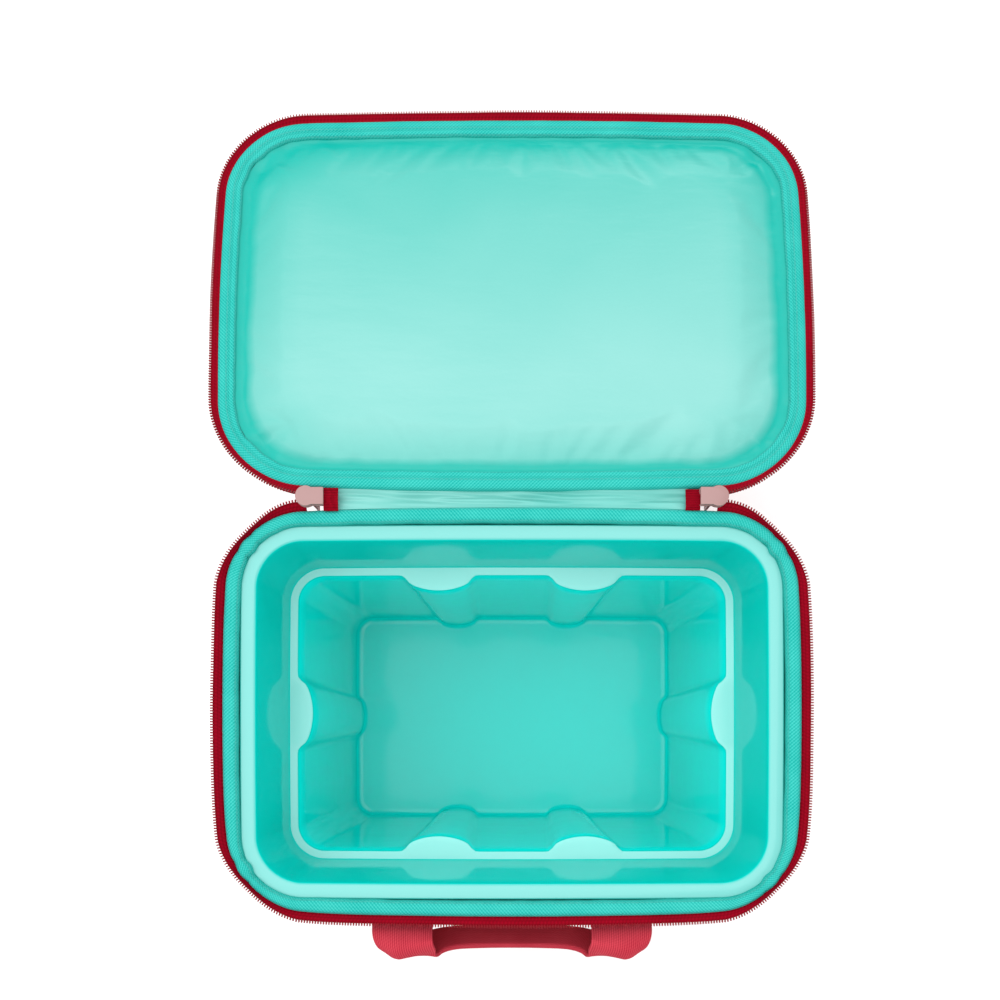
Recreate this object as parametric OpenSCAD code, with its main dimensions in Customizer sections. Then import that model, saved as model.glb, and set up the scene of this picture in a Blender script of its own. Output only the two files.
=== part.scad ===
// Soft-sided cooler on wheels with a lift-out hard liner, drawn with its lid folded open.
// Frame: origin in the middle of the base tray's centre pad, at its underside, +Z up, +X towards the trolley handle, lid hinge at +Y.

/* [Bag] */
// Width of the bag's wall along X
bag_w = 374; // [330:1:440]
// Depth of the bag's wall along Y
bag_d = 264; // [225:1:300]
// Height of the bag's rim above the centre pad's underside
bag_h = 348; // [310:1:420]
// Corner radius of the bag in plan
bag_r = 46; // [40:1:60]
// How far the long and short sides bow out
bow = 4; // [1:0.5:6]
// Thickness of the coated outer fabric
shell_t = 1; // [0.8:0.1:1.6]
// Thickness of the foam boards in the walls
foam_t = 6.5; // [5:0.5:8]
// Thickness of the foam board in the floor
floor_foam_t = 8.5; // [6:0.5:8.5]
// Thickness of the inner lining film
lining_t = 0.8; // [0.6:0.1:1]
// Height of the woven tape that binds an edge
binding_h = 14; // [10:1:20]

/* [Hard liner] */
// Space from the bag's outside to the liner's rim, all the way round
liner_side_gap = 10.5; // [10.5:0.5:30]
// Wall of the moulded liner
liner_t = 2.5; // [2:0.25:3]
// Width of the liner's flat rim
liner_rim_w = 10; // [8:0.5:12]
// Depth of the liner below its rim
liner_depth = 325; // [250:1:325]
// Depth of the can ledge below the rim
ledge_depth = 73; // [60:1:90]
// Width of the can ledge
ledge_w = 5.8; // [4:0.2:8]
// Width of each rib that stands into the liner
rib_w = 52; // [40:1:60]
// How far each rib stands in from the wall
rib_in = 9.5; // [6:0.5:12]
// Spacing of the two ribs on each long side
rib_pitch = 106; // [90:1:120]
// How far the liner lifts to come out of the bag
liner_lift = 350; // [330:1:400]

/* [Lid] */
// How much wider the lid is than the bag
lid_wider = 11; // [4:1:20]
// How much less deep the lid is than the bag
lid_shallower = 8; // [0:1:30]
// Height of the lid from its bound edge to its top
lid_h = 24; // [18:1:30]
// Corner radius of the lid in plan
lid_r = 54; // [44:1:64]
// How far past flat the open lid droops, in degrees
lid_droop = 6.5; // [0:0.5:7]
// Space between the closed lid's edge and the bag's rim
zip_gap = 6; // [4:0.5:9]
// Distance from the bag's back wall to the fold line
fold_bag = 6; // [5.5:0.5:8]
// Distance from the fold line to the lid's edge
fold_lid = 7; // [7:0.5:10]
// Width of the fabric hinge
flap_w = 226; // [180:1:250]

/* [Zip] */
// Width of zip tape that shows beside the binding
tape_w = 3; // [2:0.5:4]
// Thickness of zip tape
tape_t = 1.2; // [0.8:0.1:1.6]
// Width of one row of zip teeth
teeth_w = 2; // [1.5:0.1:2.5]
// Length of a zip slider
slider_l = 18; // [14:1:20]
// Width of a zip slider
slider_w = 13; // [9:0.5:13]
// Thickness of a zip slider
slider_t = 6; // [5:0.5:6]
// Length of a zip pull
pull_l = 26; // [20:1:30]

/* [Wheels and base] */
// Radius of the wheels
wheel_r = 30; // [27:1:31]
// Width of the wheels
wheel_w = 20; // [18:1:21]
// Radius of the stub axles
axle_r = 4; // [3:0.25:5]
// Running clearance on radius between axle and bush
axle_clear = 0.05; // [0.02:0.01:0.09]
// Height of the centre pad's underside above the floor
ground_gap = 12; // [10:1:14]
// How far the centre pad stands down from the tray
pad_h = 3; // [2:0.5:3]
// Wall and floor of the base tray
tray_t = 2.5; // [2:0.25:3]
// Height of the base tray's wall
tray_h = 36; // [30:1:44]

/* [Trolley handle] */
// Width over the outer tube, along Y
tube_w = 24; // [22:0.5:28]
// Thickness over the outer tube, along X
tube_d = 14; // [13.5:0.5:16]
// Wall of every tube
tube_t = 1; // [0.8:0.1:1.2]
// Gap on each side between one tube and the next
tube_gap = 0.3; // [0.2:0.05:0.4]
// Spacing of the two tube sets
tube_pitch = 124; // [110:1:134]
// Travel of each telescoping stage
stage_travel = 175; // [140:1:180]
// Height of the grip's top above the centre pad's underside when it is down
grip_top = 272; // [255:1:285]
// Height of the grip bar
grip_h = 16; // [14:1:20]
// Length of the grip bar
grip_l = 152; // [146:1:170]
// Finger room under the grip bar
finger_gap = 22; // [20:1:26]
// Travel of the release button
button_travel = 3; // [2:0.5:3]

/* [Front strap and pocket] */
// Width of the strap's webbing
webbing_w = 40; // [36:1:46]
// Thickness of the strap's webbing
webbing_t = 2.4; // [2:0.2:3]
// Spacing of the strap's two ends
strap_pitch = 144; // [130:1:160]
// How far the pocket stops short of each end of the bag
pocket_side = 41; // [37:1:67]
// Height of the front pocket's foot above the centre pad's underside
pocket_z = 54; // [44:1:70]
// How far the pocket's top is below the bag's rim
pocket_drop = 54; // [54:1:110]
// How far the front pocket stands out
pocket_out = 17; // [10:1:18]

/* [Hidden] */

red = "crimson";
teal = "mediumturquoise";
black = "dimgray";
eps = 0.01;
arc_n = 8;                                  // steps in each rounded corner
long_n = 9;                                 // points along each long side
short_n = 7;                                // points along each short side

wall_t = shell_t + foam_t + lining_t;       // the whole sewn wall
rim_z = bag_h;
seam_x = bag_w / 2 - bag_r - 6;             // where the end panels meet the front and back panels
tray_z = pad_h;                             // the pad's underside is the frame's zero plane
fabric_z = tray_z + tray_t;                 // underside of the bag's bottom fabric
foam_z = fabric_z + shell_t;
lining_z = foam_z + floor_foam_t;
wall_z = fabric_z + shell_t;                // foot of the wall panels
pocket_w = bag_w - 2 * pocket_side;
pocket_h = rim_z - pocket_drop - pocket_z;
cap_z = rim_z - 1;                          // top of foam and fabric under the binding

liner_w = bag_w - 2 * liner_side_gap;
liner_d = bag_d - 2 * liner_side_gap;
lid_w = bag_w + lid_wider;
lid_d = bag_d - lid_shallower;

liner_top = rim_z - 4;
liner_floor = liner_top - liner_depth;      // inside floor of the liner
liner_draft = 6;                            // taper of the liner above its ledge, on each side
liner_floor_draft = 2;                      // taper of the liner below its ledge, on each side
liner_r = 40;

hinge_y = bag_d / 2 + fold_bag;
hinge_z = rim_z + zip_gap / 2;
lid_z = rim_z + zip_gap;                    // the closed lid's bound edge
lid_y = hinge_y - fold_lid - lid_d / 2;     // the closed lid's middle
lid_edge_h = 6;                             // height of the lid's bound edge
lid_skin_t = 1.2;
edge_w = 10;                                // width of the lid's bound edge
pad_drop = 4.5;                             // how far the lid's padded lining hangs below its bound edge
zip_stop_x = 150;                           // where the open zip's rows start beside each slider
slider_x = flap_w / 2 + 16.5;
arch_h = 3.4;                               // the slider's bridge that holds its pull
arch_hole = 2.2;
pull_t = 1.4;

axle_z = wheel_r - ground_gap;
axle_x = bag_w / 2 - 14.5;
wheel_y = bag_d / 2 - 15;
cheek_t = 3;
wheel_side_gap = 0.6;
cheek_in = wheel_y - wheel_w / 2 - wheel_side_gap - cheek_t;
cheek_out = wheel_y + wheel_w / 2 + wheel_side_gap + cheek_t;
axle_end_room = 3.2;                        // room in the bag for each axle's head and clip
well_gap = 2.5;                             // room between the tyre and the housing
well_r = wheel_r + well_gap;
house_r = well_r + 2.5;
tyre_t = 7;
bush_t = 2;

trolley_in = max(bag_w, lid_w) / 2 + tape_w + teeth_w + 1.6;    // inner face of the outer tubes and the grip
trolley_out = trolley_in + tube_d;
tube_x = trolley_in + tube_d / 2;
trolley_z = fabric_z + tray_h + 2;
bezel_top = grip_top - grip_h - finger_gap;
bezel_h = 12;
collar_h = 4;
collar_t = 1.2;
cover_gap = 0.6;
grip_wall = 2;
button_l = 33;
button_w = 7.6;
screw_r = 2;
head_r = 3.4;

// ---------- outlines ----------

function corner_arc(cx, cy, r, from) =
    [for (i = [0:arc_n]) [cx + r * cos(from + 90 * i / arc_n), cy + r * sin(from + 90 * i / arc_n)]];

function between(p, q, n) = [for (i = [1:n]) p + (q - p) * i / (n + 1)];

function rounded(w, d, r) =
    let (x = w / 2 - r, y = d / 2 - r,
         a = corner_arc(x, y, r, 0), b = corner_arc(-x, y, r, 90),
         c = corner_arc(-x, -y, r, 180), e = corner_arc(x, -y, r, 270))
    concat(a, between(a[arc_n], b[0], long_n), b, between(b[arc_n], c[0], short_n),
           c, between(c[arc_n], e[0], long_n), e, between(e[arc_n], a[0], short_n));

// A rounded rectangle whose sides bow out to the full width and depth
function bowed(w, d, r, b) =
    let (x = w / 2 - b, y = d / 2 - b)
    [for (p = rounded(2 * x, 2 * y, r))
        [p.x + b * p.x / x * (1 - pow(p.y / y, 2)), p.y + b * p.y / y * (1 - pow(p.x / x, 2))]];

module bag_outline(grow = 0) polygon(bowed(bag_w + 2 * grow, bag_d + 2 * grow, bag_r + grow, bow));
module lid_outline(grow = 0) polygon(bowed(lid_w + 2 * grow, lid_d + 2 * grow, lid_r + grow, bow));
module liner_outline(grow = 0)
    polygon(bowed(liner_w + 2 * grow, liner_d + 2 * grow, liner_r + grow, bow / 4));

// A wall between two sizes of the bag's outline
module bag_ring(outer, inner) difference() {
    bag_outline(outer);
    bag_outline(inner);
}

module lid_ring(outer, inner) difference() {
    lid_outline(outer);
    lid_outline(inner);
}

module slab(z0, z1) translate([0, 0, z0]) linear_extrude(z1 - z0) children();

// Half of the plan that one end panel covers; side is -1 or 1
module end_zone(side) translate([side * (seam_x + 200), 0]) square([400, 800], center = true);
module long_zone(side) translate([0, side * 200]) square([2 * seam_x, 400], center = true);

// The space that one wheel and its housing take out of the bag
module well(side, grow = 0) {
    x0 = axle_x - house_r - grow;
    y0 = cheek_in - axle_end_room - grow;
    translate([x0, side > 0 ? y0 : -y0 - 80, -1]) cube([120, 80, 1 + axle_z + house_r + grow]);
}

module wells(grow = 0) {
    well(-1, grow);
    well(1, grow);
}

// A bar with round edges: w along Y, d along X
module bar_outline(w, d, r) {
    square([d - 2 * r, w], center = true);
    square([d, w - 2 * r], center = true);
    for (x = [-1, 1], y = [-1, 1]) translate([x * (d / 2 - r), y * (w / 2 - r)]) circle(r, $fn = 24);
}

module both_tubes() for (side = [-1, 1]) translate([tube_x, side * tube_pitch / 2]) children();

// ---------- bag ----------

module wall(zone_outer, zone_inner, top = cap_z) difference() {
    slab(wall_z, top) intersection() {
        bag_ring(zone_outer, zone_inner);
        children();
    }
    wells();
}

module front_panel() color(red) wall(0, -shell_t) long_zone(-1);
module back_panel() color(red) wall(0, -shell_t) long_zone(1);
module left_panel() color(red) wall(0, -shell_t) end_zone(-1);
module right_panel() color(red) wall(0, -shell_t) end_zone(1);

module bottom_panel() color(red) difference() {
    slab(fabric_z, wall_z) bag_outline();
    wells();
}

module front_foam() color("whitesmoke") wall(-shell_t, -shell_t - foam_t) long_zone(-1);
module back_foam() color("whitesmoke") wall(-shell_t, -shell_t - foam_t) long_zone(1);
module left_foam() color("whitesmoke") wall(-shell_t, -shell_t - foam_t) end_zone(-1);
module right_foam() color("whitesmoke") wall(-shell_t, -shell_t - foam_t) end_zone(1);

module floor_foam() color("whitesmoke") difference() {
    slab(foam_z, lining_z) bag_outline(-shell_t - foam_t);
    wells();
}

module bag_lining() color(teal) difference() {
    slab(lining_z, cap_z) bag_outline(-shell_t - foam_t);
    slab(lining_z + lining_t, cap_z + 1) bag_outline(-wall_t);
    wells();
}

// Woven tape folded over the wall's top edge
module rim_binding() color(teal) difference() {
    slab(rim_z - binding_h, rim_z) bag_ring(lining_t, -wall_t - lining_t + 0.5);
    slab(rim_z - binding_h - 1, cap_z) bag_ring(0, -wall_t);
}

// Keeps the part of the back edge that the fabric hinge takes free of zip
module zip_zone(middle_y) difference() {
    square([900, 1200], center = true);
    translate([0, middle_y + 200]) square([2 * zip_stop_x, 400], center = true);
}

module bag_zip_tape() color(red) slab(rim_z - 2 - tape_t, rim_z - 2) intersection() {
    bag_ring(lining_t + tape_w, lining_t);
    zip_zone(0);
}

module bag_zip_teeth() color(red) slab(rim_z - 3.6, rim_z - 1) intersection() {
    bag_ring(lining_t + tape_w + teeth_w, lining_t + tape_w);
    zip_zone(0);
}

module slider_at(side) translate([side * slider_x, hinge_y, hinge_z]) children();

module zip_end_tabs() color(red) for (side = [-1, 1])
    translate([side * (flap_w / 2 + 3.6), hinge_y, hinge_z]) cube([7, 9, 1.6], center = true);

// Slider body: two plates round the teeth, joined by a post at the nose
module slider(side) color("rosybrown") slider_at(side) {
    plate_t = 1.8;
    for (z = [-1, 1]) translate([0, 0, z * (slider_t - plate_t) / 2]) slider_plate(side, plate_t);
    translate([side * slider_l / 4, 0, 0]) cylinder(r = 1.6, h = slider_t - 2 * eps, center = true, $fn = 24);
    translate([0, 0, -slider_t / 2]) difference() {
        translate([0, 0, -arch_h / 2 + eps]) cube([6.4, 2, arch_h], center = true);
        translate([0, 0, -arch_hole / 2]) cube([3.6, 3, arch_hole], center = true);
    }
}

module slider_plate(side, t) linear_extrude(t, center = true) {
    translate([-side * slider_l / 4, 0]) square([slider_l / 2, slider_w - 2], center = true);
    translate([side * (slider_l / 2 - slider_w / 2), 0]) circle(d = slider_w, $fn = 32);
}

module left_slider() slider(-1);
module right_slider() slider(1);

module hinge_flap_bag() color(teal)
    translate([-flap_w / 2, bag_d / 2 + lining_t, hinge_z - 8]) cube([flap_w, fold_bag - lining_t - 0.8, 1.5]);

// ---------- pocket and strap ----------

// The pocket's outline in plan: flat against the wall, bulging to the front
function bulge_y(x, out) = -bag_d / 2 - 0.05 - out * sqrt(max(0, 1 - pow(2 * x / pocket_w, 2)));
function bulge(out, w) = [for (i = [0:16]) let (x = w * (i / 16 - 0.5)) [x, bulge_y(x * pocket_w / w, out)]];
function front_line() = [for (i = [16:-1:0]) let (x = pocket_w * (i / 16 - 0.5)) [x, wall_line(x)]];
// The bag's bowed front wall at x, a hair in front of it
function wall_line(x) = -bag_d / 2 - 0.05 + bow * pow(x / (bag_w / 2 - bow), 2);

module pocket_outline(out, w)
    polygon(concat(bulge(out, w), front_line()));

module front_pocket() color(red) difference() {
    slab(pocket_z, pocket_z + pocket_h) pocket_outline(pocket_out, pocket_w);
    slab(pocket_z + shell_t, pocket_z + pocket_h - shell_t) intersection() {
        polygon(concat(bulge(pocket_out - shell_t, pocket_w - 3),
            [for (i = [16:-1:0]) let (x = (pocket_w - 3) * (i / 16 - 0.5)) [x, wall_line(x) - shell_t]]));
        square([pocket_w - 12, 2 * bag_d], center = true);
    }
}

pocket_top = pocket_z + pocket_h;
pocket_zip_y = -bag_d / 2 - 6;
pocket_zip_l = 226;
module pocket_zip() color("darkred")
    translate([0, pocket_zip_y, pocket_top + 0.6]) cube([pocket_zip_l, 7, 1.2], center = true);

// Slider parked at the left end of the pocket's zip, with its pull lying along the zip
module pocket_slider() color("rosybrown") {
    x = -pocket_zip_l / 2 + 9;
    translate([x, pocket_zip_y, pocket_top + 1.5 + 1.5]) cube([12, 7, 3 - 2 * eps], center = true);
    translate([x + 1, pocket_zip_y, pocket_top + 5.3]) cube([5, 2, 1.8], center = true);
    translate([x + 12, pocket_zip_y, pocket_top + 5.7]) difference() {
        cube([24, 6, 1.4], center = true);
        translate([7, 0, 0]) cylinder(r = 1.6, h = 3, center = true, $fn = 24);
    }
}

label_z = pocket_top - 46;
module label_patch() color("antiquewhite") slab(label_z, label_z + 34) intersection() {
    difference() {
        polygon(concat(bulge(pocket_out + 1, pocket_w), front_line()));
        polygon(concat(bulge(pocket_out + 0.05, pocket_w), front_line()));
    }
    square([84, 2 * bag_d], center = true);
}

anchor_z = rim_z - binding_h - 34;
anchor_h = 30;
strap_root_z = anchor_z + anchor_h - 1;      // where the free webbing leaves the bag
module strap_anchors() color(red) for (side = [-1, 1])
    translate([side * strap_pitch / 2 - webbing_w / 2, -bag_d / 2 - 0.1 - webbing_t, anchor_z])
        cube([webbing_w, webbing_t, anchor_h]);

// A ribbon through stations [centre, direction of its width, direction of its thickness, width, thickness]
function ribbon_ring(s) = let (w = s[1] * s[3] / 2, t = s[2] * s[4] / 2)
    [s[0] - w - t, s[0] + w - t, s[0] + w + t, s[0] - w + t];

module ribbon(stations) {
    n = len(stations);
    points = [for (s = stations) each ribbon_ring(s)];
    sides = [for (i = [0:n - 2], k = [0:3]) let (a = 4 * i + k, b = 4 * i + (k + 1) % 4)
        each [[a, b, b + 4], [a, b + 4, a + 4]]];
    polyhedron(points = points, faces = concat([[3, 2, 1], [3, 1, 0]], sides,
        [[4 * n - 4, 4 * n - 3, 4 * n - 2], [4 * n - 4, 4 * n - 2, 4 * n - 1]]), convexity = 6);
}

function unit(v) = v / norm(v);

// One value of a smooth curve through rows a, b, c and d, between b and c
function curve(a, b, c, d, u) =
    0.5 * (2 * b + (c - a) * u + (2 * a - 5 * b + 4 * c - d) * u * u + (3 * b - a - 3 * c + d) * u * u * u);

// Each row of the strap's left half: in towards its middle, forward, up, turn of its width from X towards Z,
// and how far it is folded double, from 0 to 1
strap_root_y = -bag_d / 2 - webbing_t - 1.5;
strap_half = [
    [0, 0, 0, 0, 0], [0, -8, 8, 0, 0], [0.5, -17, 11, 3, 0], [2, -24, 5, 8, 0], [5, -26, -5, 16, 0.2],
    [11, -24, -14, 30, 0.5], [20, -20.5, -20, 50, 0.8], [33, -18.5, -23, 70, 1], [52, -17.8, -24, 84, 1], [72, -17.6, -24, 90, 1]];
strap_lean = 0.62;                          // how far the middle's top edge leans out
function strap_side(row, side) = [side * (strap_pitch / 2 - row[0] * strap_pitch / 144),
    strap_root_y + row[1], strap_root_z + row[2], side < 0 ? row[3] : 180 - row[3], row[4]];
strap_rows = concat([for (row = strap_half) strap_side(row, -1)],
    [for (i = [len(strap_half) - 2:-1:0]) strap_side(strap_half[i], 1)]);
strap_last = len(strap_rows) - 1;
strap_line = concat([for (i = [0:strap_last - 1], u = [0:0.25:0.75])
    curve(strap_rows[max(i - 1, 0)], strap_rows[i], strap_rows[i + 1], strap_rows[min(i + 2, strap_last)], u)],
    [strap_rows[strap_last]]);
function place(row) = [row[0], row[1], row[2]];
function strap_station(i) =
    let (last = len(strap_line) - 1, turn = strap_line[i][3], fold = strap_line[i][4],
         along = unit(place(strap_line[min(i + 1, last)]) - place(strap_line[max(i - 1, 0)])),
         wish = [cos(turn), -strap_lean * fold * sin(turn), sin(turn)],
         width = unit(wish - along * (wish * along)))
    [place(strap_line[i]), width, cross(along, width), webbing_w * (1 - fold / 2), webbing_t * (1 + 0.9 * fold)];
strap_stations = [for (i = [0:len(strap_line) - 1]) strap_station(i)];

module front_strap() color(red) ribbon(strap_stations);

// ---------- base and wheels ----------

module base_tray() color(black) difference() {
    union() {
        slab(tray_z, fabric_z + tray_h) bag_outline(0.2 + tray_t);
        slab(0, tray_z + 1) square([160, 90], center = true);
    }
    slab(fabric_z - 0.2 * eps, fabric_z + tray_h + 1) bag_outline(0.2);
    wells(0.2);
    for (x = [-150, -50, 50], y = [-80, 80]) translate([x, y, tray_z - 1]) cylinder(r = screw_r, h = tray_t + 2, $fn = 32);
}

// Rubber foot: a U under the left end, as high as the wheels stand
module foot_skid() color("black") slab(-ground_gap, tray_z) intersection() {
    bag_ring(-8, -22);
    translate([-200 + 40, 0]) square([400, 600], center = true);
}

module base_screws() color("silver") for (x = [-150, -50, 50], y = [-80, 80]) {
    translate([x, y, tray_z - 0.02]) cylinder(r = screw_r - 0.1, h = tray_t, $fn = 32);
    translate([x, y, tray_z - 2]) cylinder(r = head_r, h = 2, $fn = 32);
}

module housing(side) difference() {
    translate([axle_x, side * wheel_y, axle_z]) rotate([90, 0, 0]) {
        difference() {
            union() {
                cylinder(r = house_r, h = cheek_out - cheek_in, center = true, $fn = 64);
                translate([0, -(axle_z - tray_z) / 2, 0]) cube([2 * house_r, axle_z - tray_z, cheek_out - cheek_in], center = true);
            }
            cylinder(r = well_r, h = wheel_w + 2 * wheel_side_gap, center = true, $fn = 64);
            translate([0, -well_r, 0]) cube([2 * well_r, 2 * well_r, wheel_w + 2 * wheel_side_gap], center = true);
            cylinder(r = axle_r, h = 100, center = true, $fn = 48);
        }
    }
    translate([0, 0, tray_z - 50]) cube([900, 900, 100], center = true);
}

module wheel_housings() color(black) {
    housing(-1);
    housing(1);
}

module axle(side) color("silver") translate([axle_x, side * wheel_y, axle_z]) rotate([side * 90, 0, 0]) {
    translate([0, 0, -(cheek_out - cheek_in) / 2]) cylinder(r = axle_r - 0.01, h = cheek_out - cheek_in + 2.6, $fn = 48);
    translate([0, 0, -(cheek_out - cheek_in) / 2 - 1.8]) cylinder(r = axle_r + 2.5, h = 1.8, $fn = 48);
}

module front_axle() axle(-1);
module back_axle() axle(1);

// Retaining clips in the inner end of each stub axle
module axle_clips() color("silver") for (side = [-1, 1])
    translate([axle_x, side * (cheek_in - 1.2), axle_z]) rotate([90, 0, 0]) difference() {
        cylinder(r = axle_r + 3, h = 1, center = true, $fn = 48);
        cylinder(r = axle_r, h = 2, center = true, $fn = 48);
        translate([0, -8, 0]) cube([axle_r * 1.2, 16, 2], center = true);
    }

module at_wheel(side) translate([axle_x, side * wheel_y, axle_z]) rotate([90, 0, 0]) children();

module wheel_tyre(side) color("black") at_wheel(side) rotate_extrude($fn = 96) difference() {
    union() {
        translate([wheel_r - tyre_t, -wheel_w / 2 + 2]) square([tyre_t, wheel_w - 4]);
        translate([wheel_r - tyre_t, -wheel_w / 2]) square([tyre_t - 2, wheel_w]);
        for (z = [-1, 1]) translate([wheel_r - 2, z * (wheel_w / 2 - 2)]) circle(2, $fn = 24);
    }
    translate([wheel_r - tyre_t - 1, -2]) square([2.5, 4]);
}

module wheel_hub(side) color("gray") at_wheel(side) difference() {
    union() {
        rotate_extrude($fn = 96) {
            translate([wheel_r - tyre_t - 3, -wheel_w / 2 + 1]) square([3 - eps, wheel_w - 2]);
            translate([wheel_r - tyre_t - 1, -1.9]) square([2.4, 3.8]);
            translate([axle_r + bush_t + 0.01, -wheel_w / 2]) square([3, wheel_w]);
        }
        for (k = [0:5]) rotate([0, 0, 60 * k]) translate([(wheel_r - tyre_t + axle_r + bush_t) / 2 + 0.4, 0, 0])
            cube([wheel_r - tyre_t - axle_r - bush_t - 3, 3.4, wheel_w - 5], center = true);
    }
    cylinder(r = axle_r + bush_t + 0.01, h = 100, center = true, $fn = 48);
}

module wheel_bush(side) color("gold") at_wheel(side) difference() {
    cylinder(r = axle_r + bush_t, h = wheel_w + 0.4, center = true, $fn = 48);
    cylinder(r = axle_r + axle_clear, h = 100, center = true, $fn = 48);
}

module front_wheel_hub() wheel_hub(-1);
module front_wheel_tyre() wheel_tyre(-1);
module front_wheel_bush() wheel_bush(-1);
module back_wheel_hub() wheel_hub(1);
module back_wheel_tyre() wheel_tyre(1);
module back_wheel_bush() wheel_bush(1);

// ---------- trolley handle ----------

// Outside sizes of tube set n, from 0 (fixed) to 3 (carries the grip)
function set_w(n) = tube_w - 2 * n * (tube_t + tube_gap);
function set_d(n) = tube_d - 2 * n * (tube_t + tube_gap);

module tube(n, z0, z1) slab(z0, z1) difference() {
    bar_outline(set_w(n), set_d(n), max(1.2, 3 - n * 0.6));
    bar_outline(set_w(n) - 2 * tube_t, set_d(n) - 2 * tube_t, max(0.8, 2 - n * 0.4));
}

module collar(n, z0) slab(z0, z0 + collar_h) difference() {
    bar_outline(set_w(n) + 2 * collar_t, min(tube_d, set_d(n) + 2 * collar_t), 2);
    bar_outline(set_w(n), set_d(n), max(1.2, 3 - n * 0.6));
}

plate_y = tube_pitch / 2 + tube_w / 2 + 4;
plate_t = 2.5;
module backplate_outline() difference() {
    translate([bag_w / 2 - 20, -plate_y]) square([trolley_in - 0.05 - bag_w / 2 + 20, 2 * plate_y]);
    bag_outline(0.05);
}

// The room between the plate's upright ribs
module backplate_pockets() for (k = [-2:2])
    translate([bag_w / 2 - 30, k * plate_y * 0.38 - plate_y * 0.15]) square([trolley_in - plate_t - bag_w / 2 + 30, plate_y * 0.3]);

module trolley_backplate() color(black) difference() {
    slab(trolley_z, bezel_top) backplate_outline();
    slab(trolley_z + 14, bezel_top - bezel_h) backplate_pockets();
    trolley_screw_places() cylinder(r = screw_r - 0.3, h = 60, center = true, $fn = 32);
}

module outer_tubes() color("silver") both_tubes() tube(0, trolley_z + 4, bezel_top - bezel_h);

module trolley_foot() color(black) difference() {
    slab(trolley_z, trolley_z + 14) translate([trolley_in, -tube_pitch / 2 - tube_w / 2 - 4]) square([tube_d + 2, tube_pitch + tube_w + 8]);
    both_tubes() slab(trolley_z + 4, trolley_z + 15) bar_outline(tube_w, tube_d, 3);
    trolley_screw_places() cylinder(r = screw_r, h = 60, center = true, $fn = 32);
}

module trolley_bezel() color(black) difference() {
    slab(bezel_top - bezel_h, bezel_top) translate([trolley_in, -tube_pitch / 2 - tube_w / 2 - 4]) square([tube_d + 1.2, tube_pitch + tube_w + 8]);
    both_tubes() slab(bezel_top - bezel_h - 1, bezel_top + 1) bar_outline(set_w(1) + 2 * tube_gap, set_d(1) + 2 * tube_gap, 2.4);
    trolley_screw_places() cylinder(r = screw_r, h = 60, center = true, $fn = 32);
}

module trolley_screw_places() for (z = [trolley_z + 7, bezel_top - bezel_h / 2], y = [-28, 28])
    translate([trolley_in + 8, y, z]) rotate([0, 90, 0]) children();

module trolley_screws() color("silver") for (z = [trolley_z + 7, bezel_top - bezel_h / 2], y = [-28, 28]) {
    out = z > trolley_z + 20 ? tube_d + 1.2 : tube_d + 2;
    translate([trolley_in - 7, y, z]) rotate([0, 90, 0]) cylinder(r = screw_r - 0.32, h = out + 7, $fn = 32);
    translate([trolley_in + out, y, z]) rotate([0, 90, 0]) cylinder(r = head_r, h = 1.6, $fn = 32);
}

// Fabric sleeve over the tubes, open at its top and foot
module trolley_cover() color(red) slab(trolley_z + 14.3, bezel_top - bezel_h - 0.3) difference() {
    cover_w = tube_pitch + tube_w + 8 + 2 * cover_gap;
    translate([bag_w / 2 - 10, -cover_w / 2 - shell_t]) square([trolley_out + cover_gap + shell_t - bag_w / 2 + 10, cover_w + 2 * shell_t]);
    translate([bag_w / 2 - 30, -cover_w / 2]) square([trolley_out + cover_gap - bag_w / 2 + 30, cover_w]);
    bag_outline(0.05);
}

module stage(n) {
    top = bezel_top + (n - 1) * collar_h + 0.3;
    both_tubes() {
        tube(n, trolley_z + 4.5 + 4 * n, top + collar_h);
        collar(n, top);
    }
}

module lower_tubes() color("silver") stage(1);
module middle_tubes() color("silver") stage(2);

legs_z = bezel_top + 2 * collar_h + 1;
module upper_tubes() color("silver") both_tubes() tube(3, trolley_z + 16.5, grip_top - grip_h - 0.5);

module grip_solid() difference() {
    union() {
        slab(grip_top - grip_h, grip_top) translate([tube_x, 0]) bar_outline(grip_l, tube_d, 4);
        both_tubes() slab(legs_z, grip_top - grip_h + 1) bar_outline(tube_w + 2, tube_d - 0.6, 3);
    }
    slab(grip_top - grip_h + grip_wall, grip_top - grip_wall) translate([tube_x, 0]) bar_outline(grip_l - 2 * grip_wall, tube_d - 2 * grip_wall, 2.4);
    both_tubes() slab(legs_z - 1, grip_top - grip_h + grip_wall + 0.5) bar_outline(set_w(3) + 0.05, set_d(3) + 0.05, 1.2);
    translate([tube_x, 0, grip_top]) cube([button_w + 0.8, button_l + 0.8, 3 * grip_wall], center = true);
}

module grip_outer_half() color(black) intersection() {
    grip_solid();
    translate([tube_x, -200, 0]) cube([100, 400, 900]);
}

module grip_inner_half() color(black) intersection() {
    grip_solid();
    translate([tube_x - 100, -200, 0]) cube([100, 400, 900]);
}

yoke_z = grip_top - grip_wall - 7;
// Button, the yoke it presses and the two rods that run down inside the upper tubes
module release_button() color("gray") {
    translate([tube_x, 0, yoke_z + 5.6]) cube([button_w, button_l, 11.2], center = true);
    translate([tube_x, 0, yoke_z + 1.5]) cube([3.6, tube_pitch + 4, 3], center = true);
    both_tubes() translate([0, 0, trolley_z + 20]) cylinder(r = 1.5, h = yoke_z + 0.5 - trolley_z - 20, $fn = 24);
}

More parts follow.
